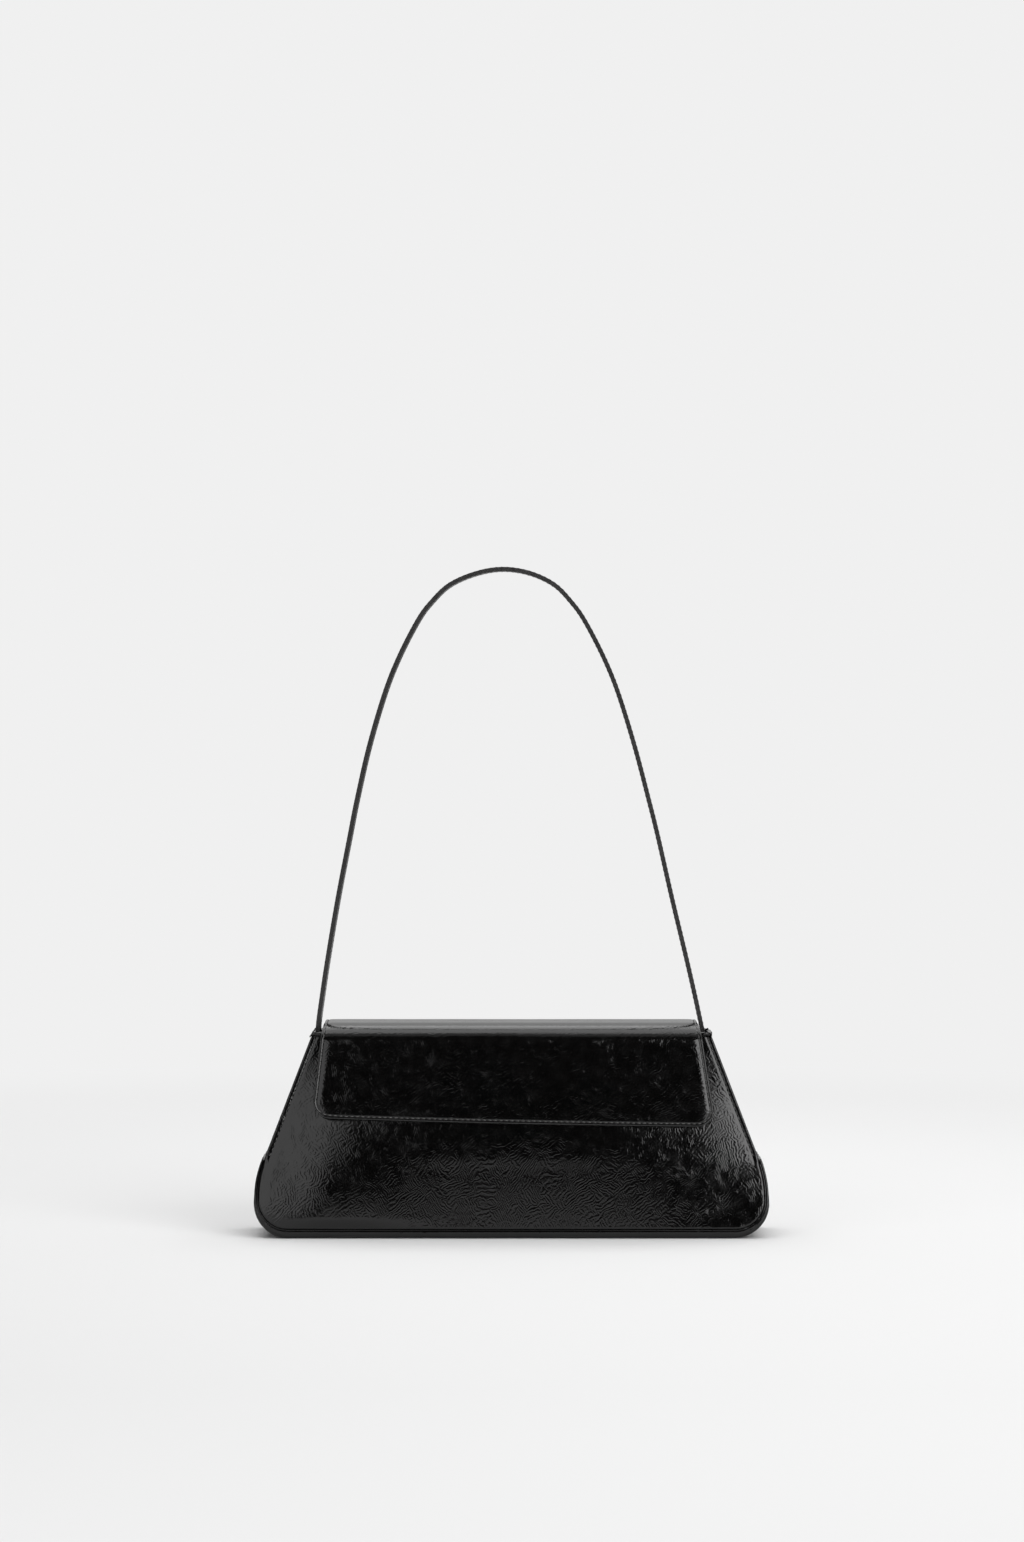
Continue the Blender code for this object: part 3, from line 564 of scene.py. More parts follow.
def wall(name, side):
    across = crowded(-1.0, 1.0, **WALL_STEPS)
    lip = PANEL_LOW + SEAM_LIP
    along = steps(PANEL_LOW, lip, 5)[:-1] + steps(lip, CORNER_TOP, 16) + steps(CORNER_TOP, PANEL_TOP, 60)[1:]

    def place(u, z, layer):
        """The outer face ends a seam line's width before the inner one."""
        if layer:
            point = wall_face(side, u * half_width(z), z)
            point.y -= side * LEATHER
            return point
        inset = SEAM_LINE * (1 - above_step(z))
        z += inset * clamp((CORNER_TOP - z) / (CORNER_TOP - PANEL_LOW))
        return wall_face(side, u * half_width(z, inset), z)

    return thin_sheet(name, across, along, place, 0.25 * MM, wall_rim)


for word, side in WALLS:
    dress(wall(f"{word}_wall_leather", side), BAG_LEATHER, "body_leather", f"{word}_panel")

# %% [markdown]
# ## Base strip
#
# One long strip of the same leather runs up one end, along the bottom and up the other end. It is rolled
# outwards between its two seams, which is why it shows as a rounded band below the seam line. Its path is
# the walls' own outline.

# %% Base strip
STRIP_LEATHER = 1.0 * MM
STRIP_IN = 0.5 * MM
STRIP_ROUND = 2.2 * MM
STRIP_LIP = 0.5 * MM
STRIP_LIP_IN = 1.6 * MM
SEAM_GAP = 1.7 * MM
STRIP_WAVE = 34 * MM
STRIP_STEPS = {"middle_step": 0.08, "edge_step": 0.01, "edge_width": 0.24}
FLAT_UNTIL, ROUND_UNTIL, SIDE_UNTIL = 0.76, 0.9, 0.94
CORNER_STEPS = 14


def strip_section(share, half, height):
    """Place across the strip and height above its seams, at a share from its middle line to its edge."""
    high = min(STRIP_ROUND, 0.6 * height)
    low = min(STRIP_LIP, 0.3 * height)
    if share < FLAT_UNTIL:
        return share / FLAT_UNTIL * (half - STRIP_ROUND), height
    if share < ROUND_UNTIL:
        turn = (share - FLAT_UNTIL) / (ROUND_UNTIL - FLAT_UNTIL) * math.pi / 2
        return half - STRIP_ROUND * (1 - math.sin(turn)), height - high * (1 - math.cos(turn))
    if share < SIDE_UNTIL:
        sunk = (share - ROUND_UNTIL) / (SIDE_UNTIL - ROUND_UNTIL)
        return half, height - high - (height - high - low) * sunk
    turn = (share - SIDE_UNTIL) / (1 - SIDE_UNTIL) * math.pi / 2
    return half - STRIP_LIP_IN * (1 - math.cos(turn)), low * (1 - math.sin(turn))


def direction_at(points, index):
    """Which way a line of points runs at one of them."""
    return (points[min(index + 1, len(points) - 1)] - points[max(index - 1, 0)]).normalized()


def strip_path(inset, top):
    """Points of the U along the bottom and up both ends, each with its outward direction."""
    radius = CORNER_RADIUS - inset
    bend = [CORNER_TOP - radius * math.cos(turn) for turn in steps(0, math.pi / 2, CORNER_STEPS)]
    levels = bend + steps(CORNER_TOP, top, 14)[1:]
    right = [Vector((half_width(z, inset), 0, z)) for z in levels]
    middle = steps(-right[0].x, right[0].x, 90)[1:-1]
    left = [Vector((-point.x, 0, point.z)) for point in reversed(right)]
    points = left + [Vector((x, 0, right[0].z)) for x in middle] + right
    path = []
    for index, point in enumerate(points):
        run = direction_at(points, index)
        path.append((point, Vector((run.z, 0, -run.x))))
    return path


def rolled_strip(name, inset, thickness, edge, top, uneven):
    path = strip_path(inset, top)
    across = crowded(-1.0, 1.0, **STRIP_STEPS)

    def place(index, share, layer):
        point, outward = path[index]
        height = STRIP_PROUD + (PANEL_LOW - STRIP_PROUD) * max(-outward.z, 0.0)
        y, roll = strip_section(abs(share), half_depth(point.z) - edge, height)
        soft = ripple(Vector((point.x, share, point.z)), STRIP_WAVE, uneven) * clamp(roll / height)
        y = math.copysign(max(y - layer * thickness, 0.0), share)
        return point + outward * (roll + soft - layer * min(thickness, 0.8 * height)) + Vector((0, y, 0))

    return thin_sheet(name, range(len(path)), across, place, 0.2 * MM)


strip = rolled_strip("base_strip_leather", 0, STRIP_LEATHER, STRIP_IN, STEP_HEIGHT, 0.5 * MM)
dress(strip, BAG_LEATHER, "body_leather", "base_strip")

# %% [markdown]
# ## Gussets and hems
#
# Each end of the bag above the step is closed by a gusset, a soft strip that folds inwards between the
# walls. Four folded bars of leather finish the edges of the mouth. The front one shows at both sides of
# the flap, and the strap comes out behind the two short ones.

# %% Gussets
GUSSET_SAG = 4.0 * MM
GUSSET_EDGE = 0.2 * MM
GUSSET_LEATHER = 1.2 * MM
GUSSET_TUCK = 1.8 * MM
GUSSET_CREASE = 0.5 * MM
GUSSET_WAVE = 11 * MM
FOLD_POWER = 1.6
TUCK_HEIGHT = 4.0 * MM


def end_sag(z):
    share = clamp((z - STEP_HEIGHT) / (PANEL_TOP - STEP_HEIGHT))
    return GUSSET_SAG * math.sin(math.pi * share)


def end_sheet(name, side, inset, thickness, edge, tuck, crease):
    """A sheet across one end of the bag that folds inwards between the walls."""
    across = steps(-1.0, 1.0, 32)
    along = steps(STEP_HEIGHT - TUCK_HEIGHT, PANEL_TOP, 70)

    def place(share, z, layer):
        y = share * (half_depth(z) - edge)
        fold = end_sag(z) * (1 - abs(share) ** FOLD_POWER)
        under = tuck * clamp((STEP_HEIGHT + TUCK_HEIGHT - z) / TUCK_HEIGHT)
        soft = ripple(Vector((side, y, z)), GUSSET_WAVE, crease) * (1 - share**2)
        x = half_width(z) - inset - fold - under - abs(soft) - layer * thickness
        return Vector((side * x, y, z))

    return thin_sheet(name, across, along, place, 0.15 * MM)


for word, side in SIDES:
    size = (GUSSET_EDGE, GUSSET_LEATHER, SEAM_GAP, GUSSET_TUCK, GUSSET_CREASE)
    gusset = end_sheet(f"{word}_gusset_leather", side, *size)
    dress(gusset, BAG_LEATHER, "body_leather", f"{word}_gusset")

# %% Hems
HEM_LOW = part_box("front_hem")[0].z
HEM_PROUD = 0.5 * MM
HEM_ROUND = 0.7 * MM
HEM_INNER = 2.5 * MM
HEM_GAP = 0.3 * MM


def hem_piece(name, node, across, place):
    """A folded bar of leather with round edges."""
    bar = thin_sheet(name, across, steps(HEM_LOW, MOUTH_HEIGHT, 2), place, HEM_ROUND)
    dress(bar, BAG_LEATHER, "body_leather", node)


def long_hem(side, proud):
    def place(share, z, layer):
        x = share * (half_width(z) - GUSSET_EDGE)
        y = half_depth(z) + swell(x, z) + proud - layer * (HEM_INNER + proud)
        return Vector((x, side * y, z))

    return place


def short_hem(side):
    depth = HEM_PROUD + GUSSET_EDGE + GUSSET_LEATHER + HEM_GAP

    def place(share, z, layer):
        y = share * (half_depth(z) - HEM_INNER - HEM_GAP)
        return Vector((side * (half_width(z) + HEM_PROUD - layer * depth), y, z))

    return place


hem_piece("front_hem_leather", "front_hem", steps(-1.0, 1.0, 120), long_hem(FRONT, HEM_PROUD))
hem_piece("back_hem_leather", "back_hem", steps(-1.0, 1.0, 120), long_hem(BACK, 0.0))
for word, side in SIDES:
    hem_piece(f"{word}_gusset_hem_leather", f"{word}_gusset_hem", steps(-1.0, 1.0, 16), short_hem(side))
print("hems from", round(HEM_LOW / MM, 1), "to", round(MOUTH_HEIGHT / MM, 1), "mm")

# %% [markdown]
# ## Flap
#
# The flap is one leather from the yoke on the back wall, over the mouth and down the front. It bends where
# it leaves the back wall, and it is one mesh from the yoke to its front edge. Its edges are turned: the
# leather swells into a narrow roll, dips at the stitch line and ends in a round rim. Its stiff middle stays
# flat.

# %% Flap route
FLAP_LEAN = math.radians(5.0)
FLAP_FOLD_RADIUS = 12.0 * MM
FLAP_CORNER_RADIUS = 10.0 * MM
FLAP_SLANT = 2.4 * MM
FLAP_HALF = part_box("flap_leather")[1].z - HINGE.z
FLAP_TOP_HALF = -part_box("flap_yoke")[0].x
FLAP_LEFT_FLARE = -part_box("flap_leather")[0].x - FLAP_TOP_HALF
FLAP_RIGHT_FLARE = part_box("flap_leather")[1].x - FLAP_TOP_HALF
YOKE_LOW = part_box("flap_yoke")[0].z
FLAP_LOW_EDGE = 64.0 * MM
flap_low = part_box("flap_leather")[0]
below_edge = FLAP_LOW_EDGE - flap_low.z
foot_y = flap_low.y + FLAP_HALF * math.cos(FLAP_LEAN) + below_edge * math.tan(FLAP_LEAN)
FLAP_FOOT = Vector((0, foot_y, FLAP_LOW_EDGE))


def flap_route():
    """Centre of the front fold, and the lengths of the top, the fold and the straight front."""
    centre_z = HINGE.z - FLAP_FOLD_RADIUS
    touch_z = centre_z + FLAP_FOLD_RADIUS * math.sin(FLAP_LEAN)
    touch_y = FLAP_FOOT.y + (touch_z - FLAP_FOOT.z) * math.tan(FLAP_LEAN)
    centre_y = touch_y + FLAP_FOLD_RADIUS * math.cos(FLAP_LEAN)
    top = HINGE.y - centre_y
    fold = FLAP_FOLD_RADIUS * (math.pi / 2 - FLAP_LEAN)
    front = (touch_z - FLAP_FOOT.z) / math.cos(FLAP_LEAN)
    return Vector((0, centre_y, centre_z)), top, fold, front


FOLD_CENTRE, TOP_RUN, FOLD_RUN, FRONT_RUN = flap_route()
FLAP_RUN = TOP_RUN + FOLD_RUN + FRONT_RUN
FRONT_FROM = TOP_RUN + FOLD_RUN
YOKE_RUN = HINGE.z - YOKE_LOW
TURN_RUN = 3.2 * MM
LOWER_HANG = 1.0 * MM
MIDDLE_HANG = 0.7 * MM
FLAP_EDGES = {
    LEFT: (FLAP_TOP_HALF + 1.0 * MM, FLAP_LEFT_FLARE + 3.9 * MM),
    RIGHT: (FLAP_TOP_HALF + 0.3 * MM, FLAP_RIGHT_FLARE + 2.4 * MM),
}
YOKE_CORNER_RADIUS = 6 * MM


def flap_point(x, run, lift):
    """A point on the flap: run is measured forwards from the hinge line, lift out of the middle."""
    if run <= -TURN_RUN:
        z = HINGE.z + TURN_RUN + run
        y = half_depth(z) + (swell(x, z) if z < MOUTH_HEIGHT else 0.0)
        return Vector((x, y + HINGE.y - half_depth(HINGE.z) + lift, z))
    if run <= 0:
        turn = -run / TURN_RUN * math.pi / 2
        return Vector((x, HINGE.y + lift * math.sin(turn), HINGE.z + lift * math.cos(turn)))
    if run <= TOP_RUN:
        return Vector((x, HINGE.y - run, HINGE.z + lift))
    if run <= FRONT_FROM:
        turn = (run - TOP_RUN) / FLAP_FOLD_RADIUS
        reach = FLAP_FOLD_RADIUS + lift
        return FOLD_CENTRE + Vector((x, -reach * math.sin(turn), reach * math.cos(turn)))
    down = run - FRONT_FROM
    outward = Vector((0, -math.cos(FLAP_LEAN), math.sin(FLAP_LEAN)))
    along = Vector((0, -math.sin(FLAP_LEAN), -math.cos(FLAP_LEAN)))
    return FOLD_CENTRE + Vector((x, 0, 0)) + outward * (FLAP_FOLD_RADIUS + lift) + along * down


def flap_side(side, run):
    """Distance of the flap's left or right edge from the middle at a run."""
    at_top, flare = FLAP_EDGES[side]
    return at_top + flare * clamp((run - TOP_RUN) / (FOLD_RUN + FRONT_RUN))


def flap_end(share):
    """Run of the flap's lower edge, which slants and hangs a little lower in its middle."""
    return FLAP_RUN + FLAP_SLANT * share + LOWER_HANG + MIDDLE_HANG * (1 - min(share**2, 1.0))


def flap_x(share, run, margin=0.0):
    """Where a share of the flap's width lies, left edge at -1 and right edge at 1."""
    left = flap_side(LEFT, run) - margin
    right = flap_side(RIGHT, run) - margin
    return (share * (left + right) + right - left) / 2


def flap_share(x, run):
    left = flap_side(LEFT, run)
    right = flap_side(RIGHT, run)
    return (2 * x - right + left) / (left + right)


def flap_beside(x, run):
    """Distance from a point of the flap to its nearer side edge."""
    return flap_side(LEFT if x < 0 else RIGHT, run) - abs(x)


def flap_gap(x, run):
    """Distance from a point of the flap to its side, front or yoke edge."""
    beside = flap_beside(x, run)
    end = flap_end(flap_share(x, run))
    radius = FLAP_CORNER_RADIUS if run > 0 else YOKE_CORNER_RADIUS
    below = min(end - run, run + YOKE_RUN + TURN_RUN)
    if beside < radius and below < radius:
        return radius - math.hypot(radius - beside, radius - below)
    return min(beside, below)


print("flap from hinge to edge, mm:", round(FLAP_RUN / MM, 1), "foot at", round(FLAP_FOOT.y / MM, 1))

# %% Flap leather
EDGE_ROLL = 0.5 * MM
PUFF_FROM = 1.4 * MM
PUFF_TO = 5.8 * MM
PUFF_DROP = 0.46 * MM
STITCH_IN = 1.6 * MM
STITCH_GROOVE = 0.3 * MM
STITCH_GROOVE_WIDTH = 0.34 * MM
TAIL_LENGTH, TAIL_ROUND = 14.0, 3.4
CROWN = 0.8 * MM
CROWN_MIDDLE = 0.55
TOP_SUNK = 0.5 * MM
FLAP_SWELLS = 55 * MM
FLAP_DIMPLES = 14 * MM
FLAP_SKIN_LEATHER = 1.0 * MM
FLAP_BACK_LEATHER = 0.8 * MM
LINING_MARGIN = 1.2 * MM
FLAP_WEAR_AND_HIGHLIGHT = 0.8


def over_fold(run):
    """0 on the flap's top, 1 on its front, with a soft change over the fold."""
    return smooth((run - TOP_RUN) / FOLD_RUN)


def side_puff(x, run):
    """How far the padded face has sunk at a point, beside its side edges and round its lower corners."""
    beside = flap_beside(x, run)
    below = flap_end(flap_share(x, run)) - run
    gap = flap_gap(x, run)
    held = 1 - clamp((gap - PUFF_FROM) / (PUFF_TO - PUFF_FROM))
    if beside < FLAP_CORNER_RADIUS and below < FLAP_CORNER_RADIUS:
        turn = math.atan2(FLAP_CORNER_RADIUS - below, FLAP_CORNER_RADIUS - beside)
        held *= 1 - smooth((turn - 0.6) / 0.9)
    elif below < beside:
        held = 0.0
    return PUFF_DROP * (0.3 + 0.7 * over_fold(run)) * held**2


def crown(run):
    """The top of the flap is full: it rises between the hinge and the fold, and starts a little lower."""
    middle = TOP_RUN * CROWN_MIDDLE
    rise = CROWN * max(1 - ((run - middle) / middle) ** 2, 0.0) if run > 0 else 0.0
    return rise - TOP_SUNK * smooth((run + TURN_RUN) / TURN_RUN) * (1 - over_fold(run))


def rim_drop(x, run, gap):
    """How far the flap's face lies under its flat middle."""
    groove = STITCH_GROOVE * math.exp(-(((gap - STITCH_IN) / STITCH_GROOVE_WIDTH) ** 2))
    return side_puff(x, run) + groove + quarter_roll(gap, EDGE_ROLL)


def corner_shares():
    """Shares across half the flap that are close together round its corner."""
    corner = FLAP_CORNER_RADIUS / FLAP_TOP_HALF
    turned = [1 - corner * (1 - math.sin(turn)) for turn in steps(0, math.pi / 2, CORNER_STEPS)]
    edge = [1 - (1 - share) / 2 for share in turned]
    levels = sorted(set(turned + [share for share in edge if share < 0.998]))
    return steps(0.0, turned[0], 52)[:-1] + levels


def flap_sheet(name, start, high, low, margin, edged):
    """A layer of the flap between two lifts, from a run to the front edge."""
    right = corner_shares()
    across = [-share for share in reversed(right[1:])] + right
    square = FLAP_RUN - FLAP_CORNER_RADIUS - FLAP_SLANT
    behind = steps(start, 0.0, max(round(-start / (1.2 * MM)), 1)) if start < 0 else [0.0]
    behind += steps(0.0, TOP_RUN, 26)[1:]
    behind += steps(TOP_RUN, FRONT_FROM, 22)[1:]
    behind += steps(FRONT_FROM, square, 16)[1:]
    rows = [run for run in behind if run >= start]
    tail_gaps = steps(TAIL_LENGTH - 1, TAIL_ROUND, 12) + steps(TAIL_ROUND, 0.0, 17)[1:]
    tail = [1 - gap / TAIL_LENGTH for gap in tail_gaps]
    along = [(run, 0.0) for run in rows] + [(square, share) for share in tail]

    def spot(share, mark):
        run, part = mark
        radius = FLAP_CORNER_RADIUS - margin
        half = flap_x(1.0, FLAP_RUN, margin) / 2 - flap_x(-1.0, FLAP_RUN, margin) / 2
        end = flap_end(share) - margin
        into = radius - (1 - abs(share)) * half
        if into > 0:
            end -= radius - math.sqrt(max(radius**2 - into**2, 0.0))
        run += part * (end - square)
        return flap_x(share, run, margin), run

    def place(share, mark, layer):
        x, run = spot(share, mark)
        gap = flap_gap(x, run)
        lift = high + (low - high) * layer
        if edged and layer == 0:
            lift += crown(run) - rim_drop(x, run, gap)
            point = flap_point(x, run, 0)
            held = smooth(gap / (9 * MM))
            soft = 0.08 * MM + 0.3 * MM * over_fold(run) * smooth((FRONT_FROM - run) / (8 * MM))
            lift += ripple(point, FLAP_SWELLS, soft) * held + ripple(point, FLAP_DIMPLES, 0.02 * MM)
        if edged and layer == 1:
            sewn_down = max(1 - smooth(gap / LINING_MARGIN), smooth(-run / (3 * MM)))
            lift -= (low + FLAP_HALF) * sewn_down * 0.95
        return flap_point(x, run, lift)

    # Painted highlight and wear: the rim value lightens the flap's colour along its rounded edge.
    def rim(share, mark):
        gap = flap_gap(*spot(share, mark))
        return FLAP_WEAR_AND_HIGHLIGHT * math.exp(-gap / (0.8 * MM)) if edged else 0.0

    return thin_sheet(name, across, along, place, 0.15 * MM, rim)


skin = (-YOKE_RUN - TURN_RUN, FLAP_HALF, FLAP_HALF - FLAP_SKIN_LEATHER, 0.0, True)
back = (0.6 * MM, -FLAP_HALF + FLAP_BACK_LEATHER, -FLAP_HALF, LINING_MARGIN, False)
flap_skin = flap_sheet("flap_skin", *skin)
flap_back = flap_sheet("flap_lining_leather", *back)
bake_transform(flap_skin)
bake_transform(flap_back)
dress(flap_skin, BAG_LEATHER, "body_leather", "flap_leather", "flap_yoke", body=None)
dress(flap_back, INNER_FINISH, "inner_leather", "flap_lining", body=None)

# %% [markdown]
# ## Strap
#
# The strap is one flat band in two layers, sewn near both edges, with painted edges. It stands up in an
# arch that leans a little to the left at its top. The route is the model's own, smoothed, and the mesh is
# one piece from root to root.

# %% Strap route
STRAP_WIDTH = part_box("strap_arch_outer")[1].y * 2
STRAP_THICKNESS = 2.4 * MM
STRAP_TURN = math.radians(2.5)
STRAP_STEP = 2.4 * MM
STRAP_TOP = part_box("strap_arch_outer")[1].z - STRAP_THICKNESS / 2
STRAP_ROOT = 110.2 * MM
STRAP_HALF_SPAN = 105.4 * MM
STRAP_ROUTE_SHARES = (
    (0.000, 1.009, 0.999),
    (0.027, 1.004, 0.985),
    (0.075, 0.988, 0.960),
    (0.153, 0.960, 0.917),
    (0.288, 0.905, 0.839),
    (0.424, 0.842, 0.764),
    (0.502, 0.805, 0.717),
    (0.618, 0.741, 0.643),
    (0.734, 0.658, 0.556),
    (0.812, 0.583, 0.479),
    (0.889, 0.487, 0.382),
    (0.928, 0.418, 0.315),
    (0.966, 0.321, 0.225),
    (0.991, 0.181, 0.099),
)
STRAP_TOP_SHARE = -0.042


def smooth_line(points, count):
    """Points on a smooth curve through the given ones."""
    curve = []
    for index in range(len(points) - 1):
        before = points[max(index - 1, 0)]
        start = points[index]
        end = points[index + 1]
        after = points[min(index + 2, len(points) - 1)]
        for t in steps(0.0, 1.0, count)[:-1]:
            a = 2 * t**3 - 3 * t**2 + 1
            b = t**3 - 2 * t**2 + t
            c = 3 * t**2 - 2 * t**3
            d = t**3 - t**2
            curve.append(start * a + (end - before) / 2 * b + end * c + (after - start) / 2 * d)
    return curve + [points[-1]]


def strap_line():
    """The strap's middle, from the left root over the top to the right root, with both tails."""
    rise = STRAP_TOP - STRAP_ROOT
    left = []
    right = []
    for height, left_share, right_share in STRAP_ROUTE_SHARES:
        z = STRAP_ROOT + height * rise
        left.append(Vector((-left_share * STRAP_HALF_SPAN, 0, z)))
        right.append(Vector((right_share * STRAP_HALF_SPAN, 0, z)))
    top = Vector((STRAP_TOP_SHARE * STRAP_HALF_SPAN, 0, STRAP_TOP))
    return smooth_line(left + [top] + right[::-1], 12)


def even_line(points, gap):
    """The same line with points an even distance apart."""
    even = [points[0]]
    left_over = gap
    for start, end in zip(points, points[1:]):
        length = (end - start).length
        while length > 0 and left_over <= length:
            start = start + (end - start) * (left_over / length)
            length = (end - start).length
            even.append(start)
            left_over = gap
        left_over -= length
    even.append(points[-1])
    return even


def with_frames(points):
    """Each point of a line with its outward and its sideways direction, turned a little about the line."""
    framed = []
    for index, point in enumerate(points):
        run = direction_at(points, index)
        outward = Vector((-run.z, 0, run.x))
        sideways = Vector((0, 1, 0))
        turned_out = outward * math.cos(STRAP_TURN) + sideways * math.sin(STRAP_TURN) * run.z
        turned_side = run.cross(turned_out)
        if turned_side.y < 0:
            turned_side = -turned_side
        framed.append((point, turned_out, turned_side))
    return framed


STRAP_LINE = with_frames(even_line(strap_line(), STRAP_STEP))
print("strap from root to root, mm:", round(STRAP_STEP * len(STRAP_LINE) / MM))

# %% Strap leather
SEAM_FROM_EDGE = 1.4 * MM
SEAM_DEPTH = 0.16 * MM
SEAM_WIDTH = 0.4 * MM
EDGE_THINNER = 0.3 * MM
EDGE_WIDTH = 0.7 * MM
STRAP_ROUND = 0.25 * MM
STRAP_SHARES = (-1.0, -0.93, -0.8, -0.7, -0.6, -0.3, 0.0, 0.3, 0.6, 0.7, 0.8, 0.93, 1.0)


def strap_half_thickness(share):
    """Half the strap's thickness across its width: crowned, grooved at the seams, round at the edges."""
    from_edge = (1 - abs(share)) * STRAP_WIDTH / 2
    groove = SEAM_DEPTH * math.exp(-(((from_edge - SEAM_FROM_EDGE) / SEAM_WIDTH) ** 2))
    rounding = EDGE_THINNER * max(1 - from_edge / EDGE_WIDTH, 0.0) ** 2
    return STRAP_THICKNESS / 2 - groove - rounding


def strap_point(index, share, layer):
    point, outward, sideways = STRAP_LINE[index]
    reach = strap_half_thickness(share) * (1 - 2 * layer)
    return point + outward * reach + sideways * share * STRAP_WIDTH / 2


strap = thin_sheet("strap_band", range(len(STRAP_LINE)), STRAP_SHARES, strap_point, STRAP_ROUND)
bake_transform(strap)
legs = [f"strap_{word}_leg_{layer}" for word, side in SIDES for layer in ("outer", "inner")]
dress(strap, STRAP_FINISH, "strap_leather", "strap_arch_outer", "strap_arch_inner", *legs, body=None)

for word, side in SIDES:
    root = STRAP_LINE[0][0] if side == LEFT else STRAP_LINE[-1][0]
    inset = half_width(STRAP_ROOT) - abs(root.x)
    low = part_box(f"{word}_strap_tail")[0].z

    def tail_place(z, share, layer, side=side, inset=inset):
        x = half_width(z) - end_sag(z) - inset + strap_half_thickness(share) * (1 - 2 * layer)
        return Vector((side * x, share * STRAP_WIDTH / 2, z))

    levels = steps(low, STRAP_ROOT - 0.1 * MM, 14)
    tail = thin_sheet(f"{word}_strap_end", levels, STRAP_SHARES, tail_place, STRAP_ROUND)
    dress(tail, STRAP_FINISH, "strap_leather", f"{word}_strap_tail")

# %% [markdown]
# ## Stitches
#
# Black thread holds the flap's edge, both edges of the strap and the side edges of the walls. Each stitch
# is a tiny long bead of thread, half sunk in the groove that the leather already has. They are joined into
# one object for each body, with few faces on each bead.

# %% Thread
def thread_finish(name, colour):
    recipe = new_material(name)
    twist = recipe.noise(2600.0)
    shade = recipe.tones(twist, colour, 0.6, 1.4)
    return recipe.finish(Base_Color=shade, Normal=recipe.relief(twist, 0.05 * MM), Roughness=0.42, IOR=1.5)


# The thread is black; its colour is lifted to a dark grey as a painted highlight for the glints on the beads.
THREAD_WITH_PAINTED_GLINT = thread_finish("black_thread", (0.075, 0.073, 0.072))

# %% Stitches
STITCH_PITCH = 3.0 * MM
STITCH_HALF = 1.1 * MM


def stitches(name, spots, radius):
    """Beads of thread, each at a point with its direction along and its direction out."""
    shape = bmesh.new()
    for point, along, out in spots:
        across = along.cross(out).normalized()
        added = bmesh.ops.create_icosphere(shape, subdivisions=1, radius=1.0)
        for vertex in added["verts"]:
            x, y, z = vertex.co
            vertex.co = point + along * x * STITCH_HALF + across * y * radius + out * z * radius
    piece = as_object(name, shape)
    piece.data.materials.append(THREAD_WITH_PAINTED_GLINT)
    return piece


def strap_stitches():
    line = even_line(strap_line(), STITCH_PITCH)
    framed = with_frames(line)
    for edge in (-1, 1):
        share = edge * (1 - 2 * SEAM_FROM_EDGE / STRAP_WIDTH)
        for face in (1, -1):
            for index in range(1, len(line) - 1):
                point, outward, sideways = framed[index]
                lift = strap_half_thickness(share) + 0.05 * MM
                spot = point + outward * face * lift + sideways * share * STRAP_WIDTH / 2
                yield spot, direction_at(line, index), outward * face


strap_thread = stitches("strap_stitches", strap_stitches(), 0.26 * MM)
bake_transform(strap_thread)


def flap_stitches():
    """Stitches round the flap's edge, from the hinge down one side, across and up the other side."""
    outline = []
    for side in (LEFT, RIGHT):
        leg = []
        end = flap_end(side)
        radius = FLAP_CORNER_RADIUS - STITCH_IN
        for run in steps(12 * MM, end - FLAP_CORNER_RADIUS, 60):
            leg.append((side * (flap_side(side, run) - STITCH_IN), run))
        corner_x = flap_side(side, end) - FLAP_CORNER_RADIUS
        for turn in steps(0, math.pi / 2, 10)[1:]:
            x = side * (corner_x + radius * math.cos(turn))
            leg.append((x, end - FLAP_CORNER_RADIUS + radius * math.sin(turn)))
        outline.append(leg)
    shares = steps(-0.85, 0.85, 40)
    middle = [(flap_x(share, FLAP_RUN), flap_end(share) - STITCH_IN) for share in shares]
    path = outline[0] + middle + outline[1][::-1]
    spots = even_line([Vector((x, run, 0)) for x, run in path], STITCH_PITCH)
    for index in range(1, len(spots) - 1):
        here = spots[index]
        lift = FLAP_HALF + crown(here.y) - rim_drop(here.x, here.y, STITCH_IN) + 0.08 * MM
        point = flap_point(here.x, here.y, lift)
        ahead = flap_point(spots[index + 1].x, spots[index + 1].y, lift)
        behind = flap_point(spots[index - 1].x, spots[index - 1].y, lift)
        inner = flap_point(here.x, here.y, 0)
        yield point, (ahead - behind).normalized(), (point - inner).normalized()


flap_thread = stitches("flap_stitches", flap_stitches(), 0.28 * MM)
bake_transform(flap_thread)


def wall_stitches():
    for side in (FRONT, BACK):
        for edge in (LEFT, RIGHT):
            for z in steps(STEP_HEIGHT + 3 * MM, PANEL_TOP - 2 * MM, 22):
                x = half_width(z) - GROOVE_IN
                point = wall_face(side, edge * x, z)
                along = Vector((-edge * SIDE_SLOPE, 0, 1)).normalized()
                yield point, along, Vector((0, side, 0))


wall_thread = stitches("wall_stitches", wall_stitches(), 0.18 * MM)
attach(wall_thread, "bag")
for thread in (strap_thread, flap_thread, wall_thread):
    print(thread.name, len(thread.data.polygons), "faces")

# %% [markdown]
# ## Inside
#
# When the flap is lifted the inside shows: leather facings below the mouth, a black twill lining and a
# slip pocket on the back. The lining is cloth, so it hangs a little loose between its seams.

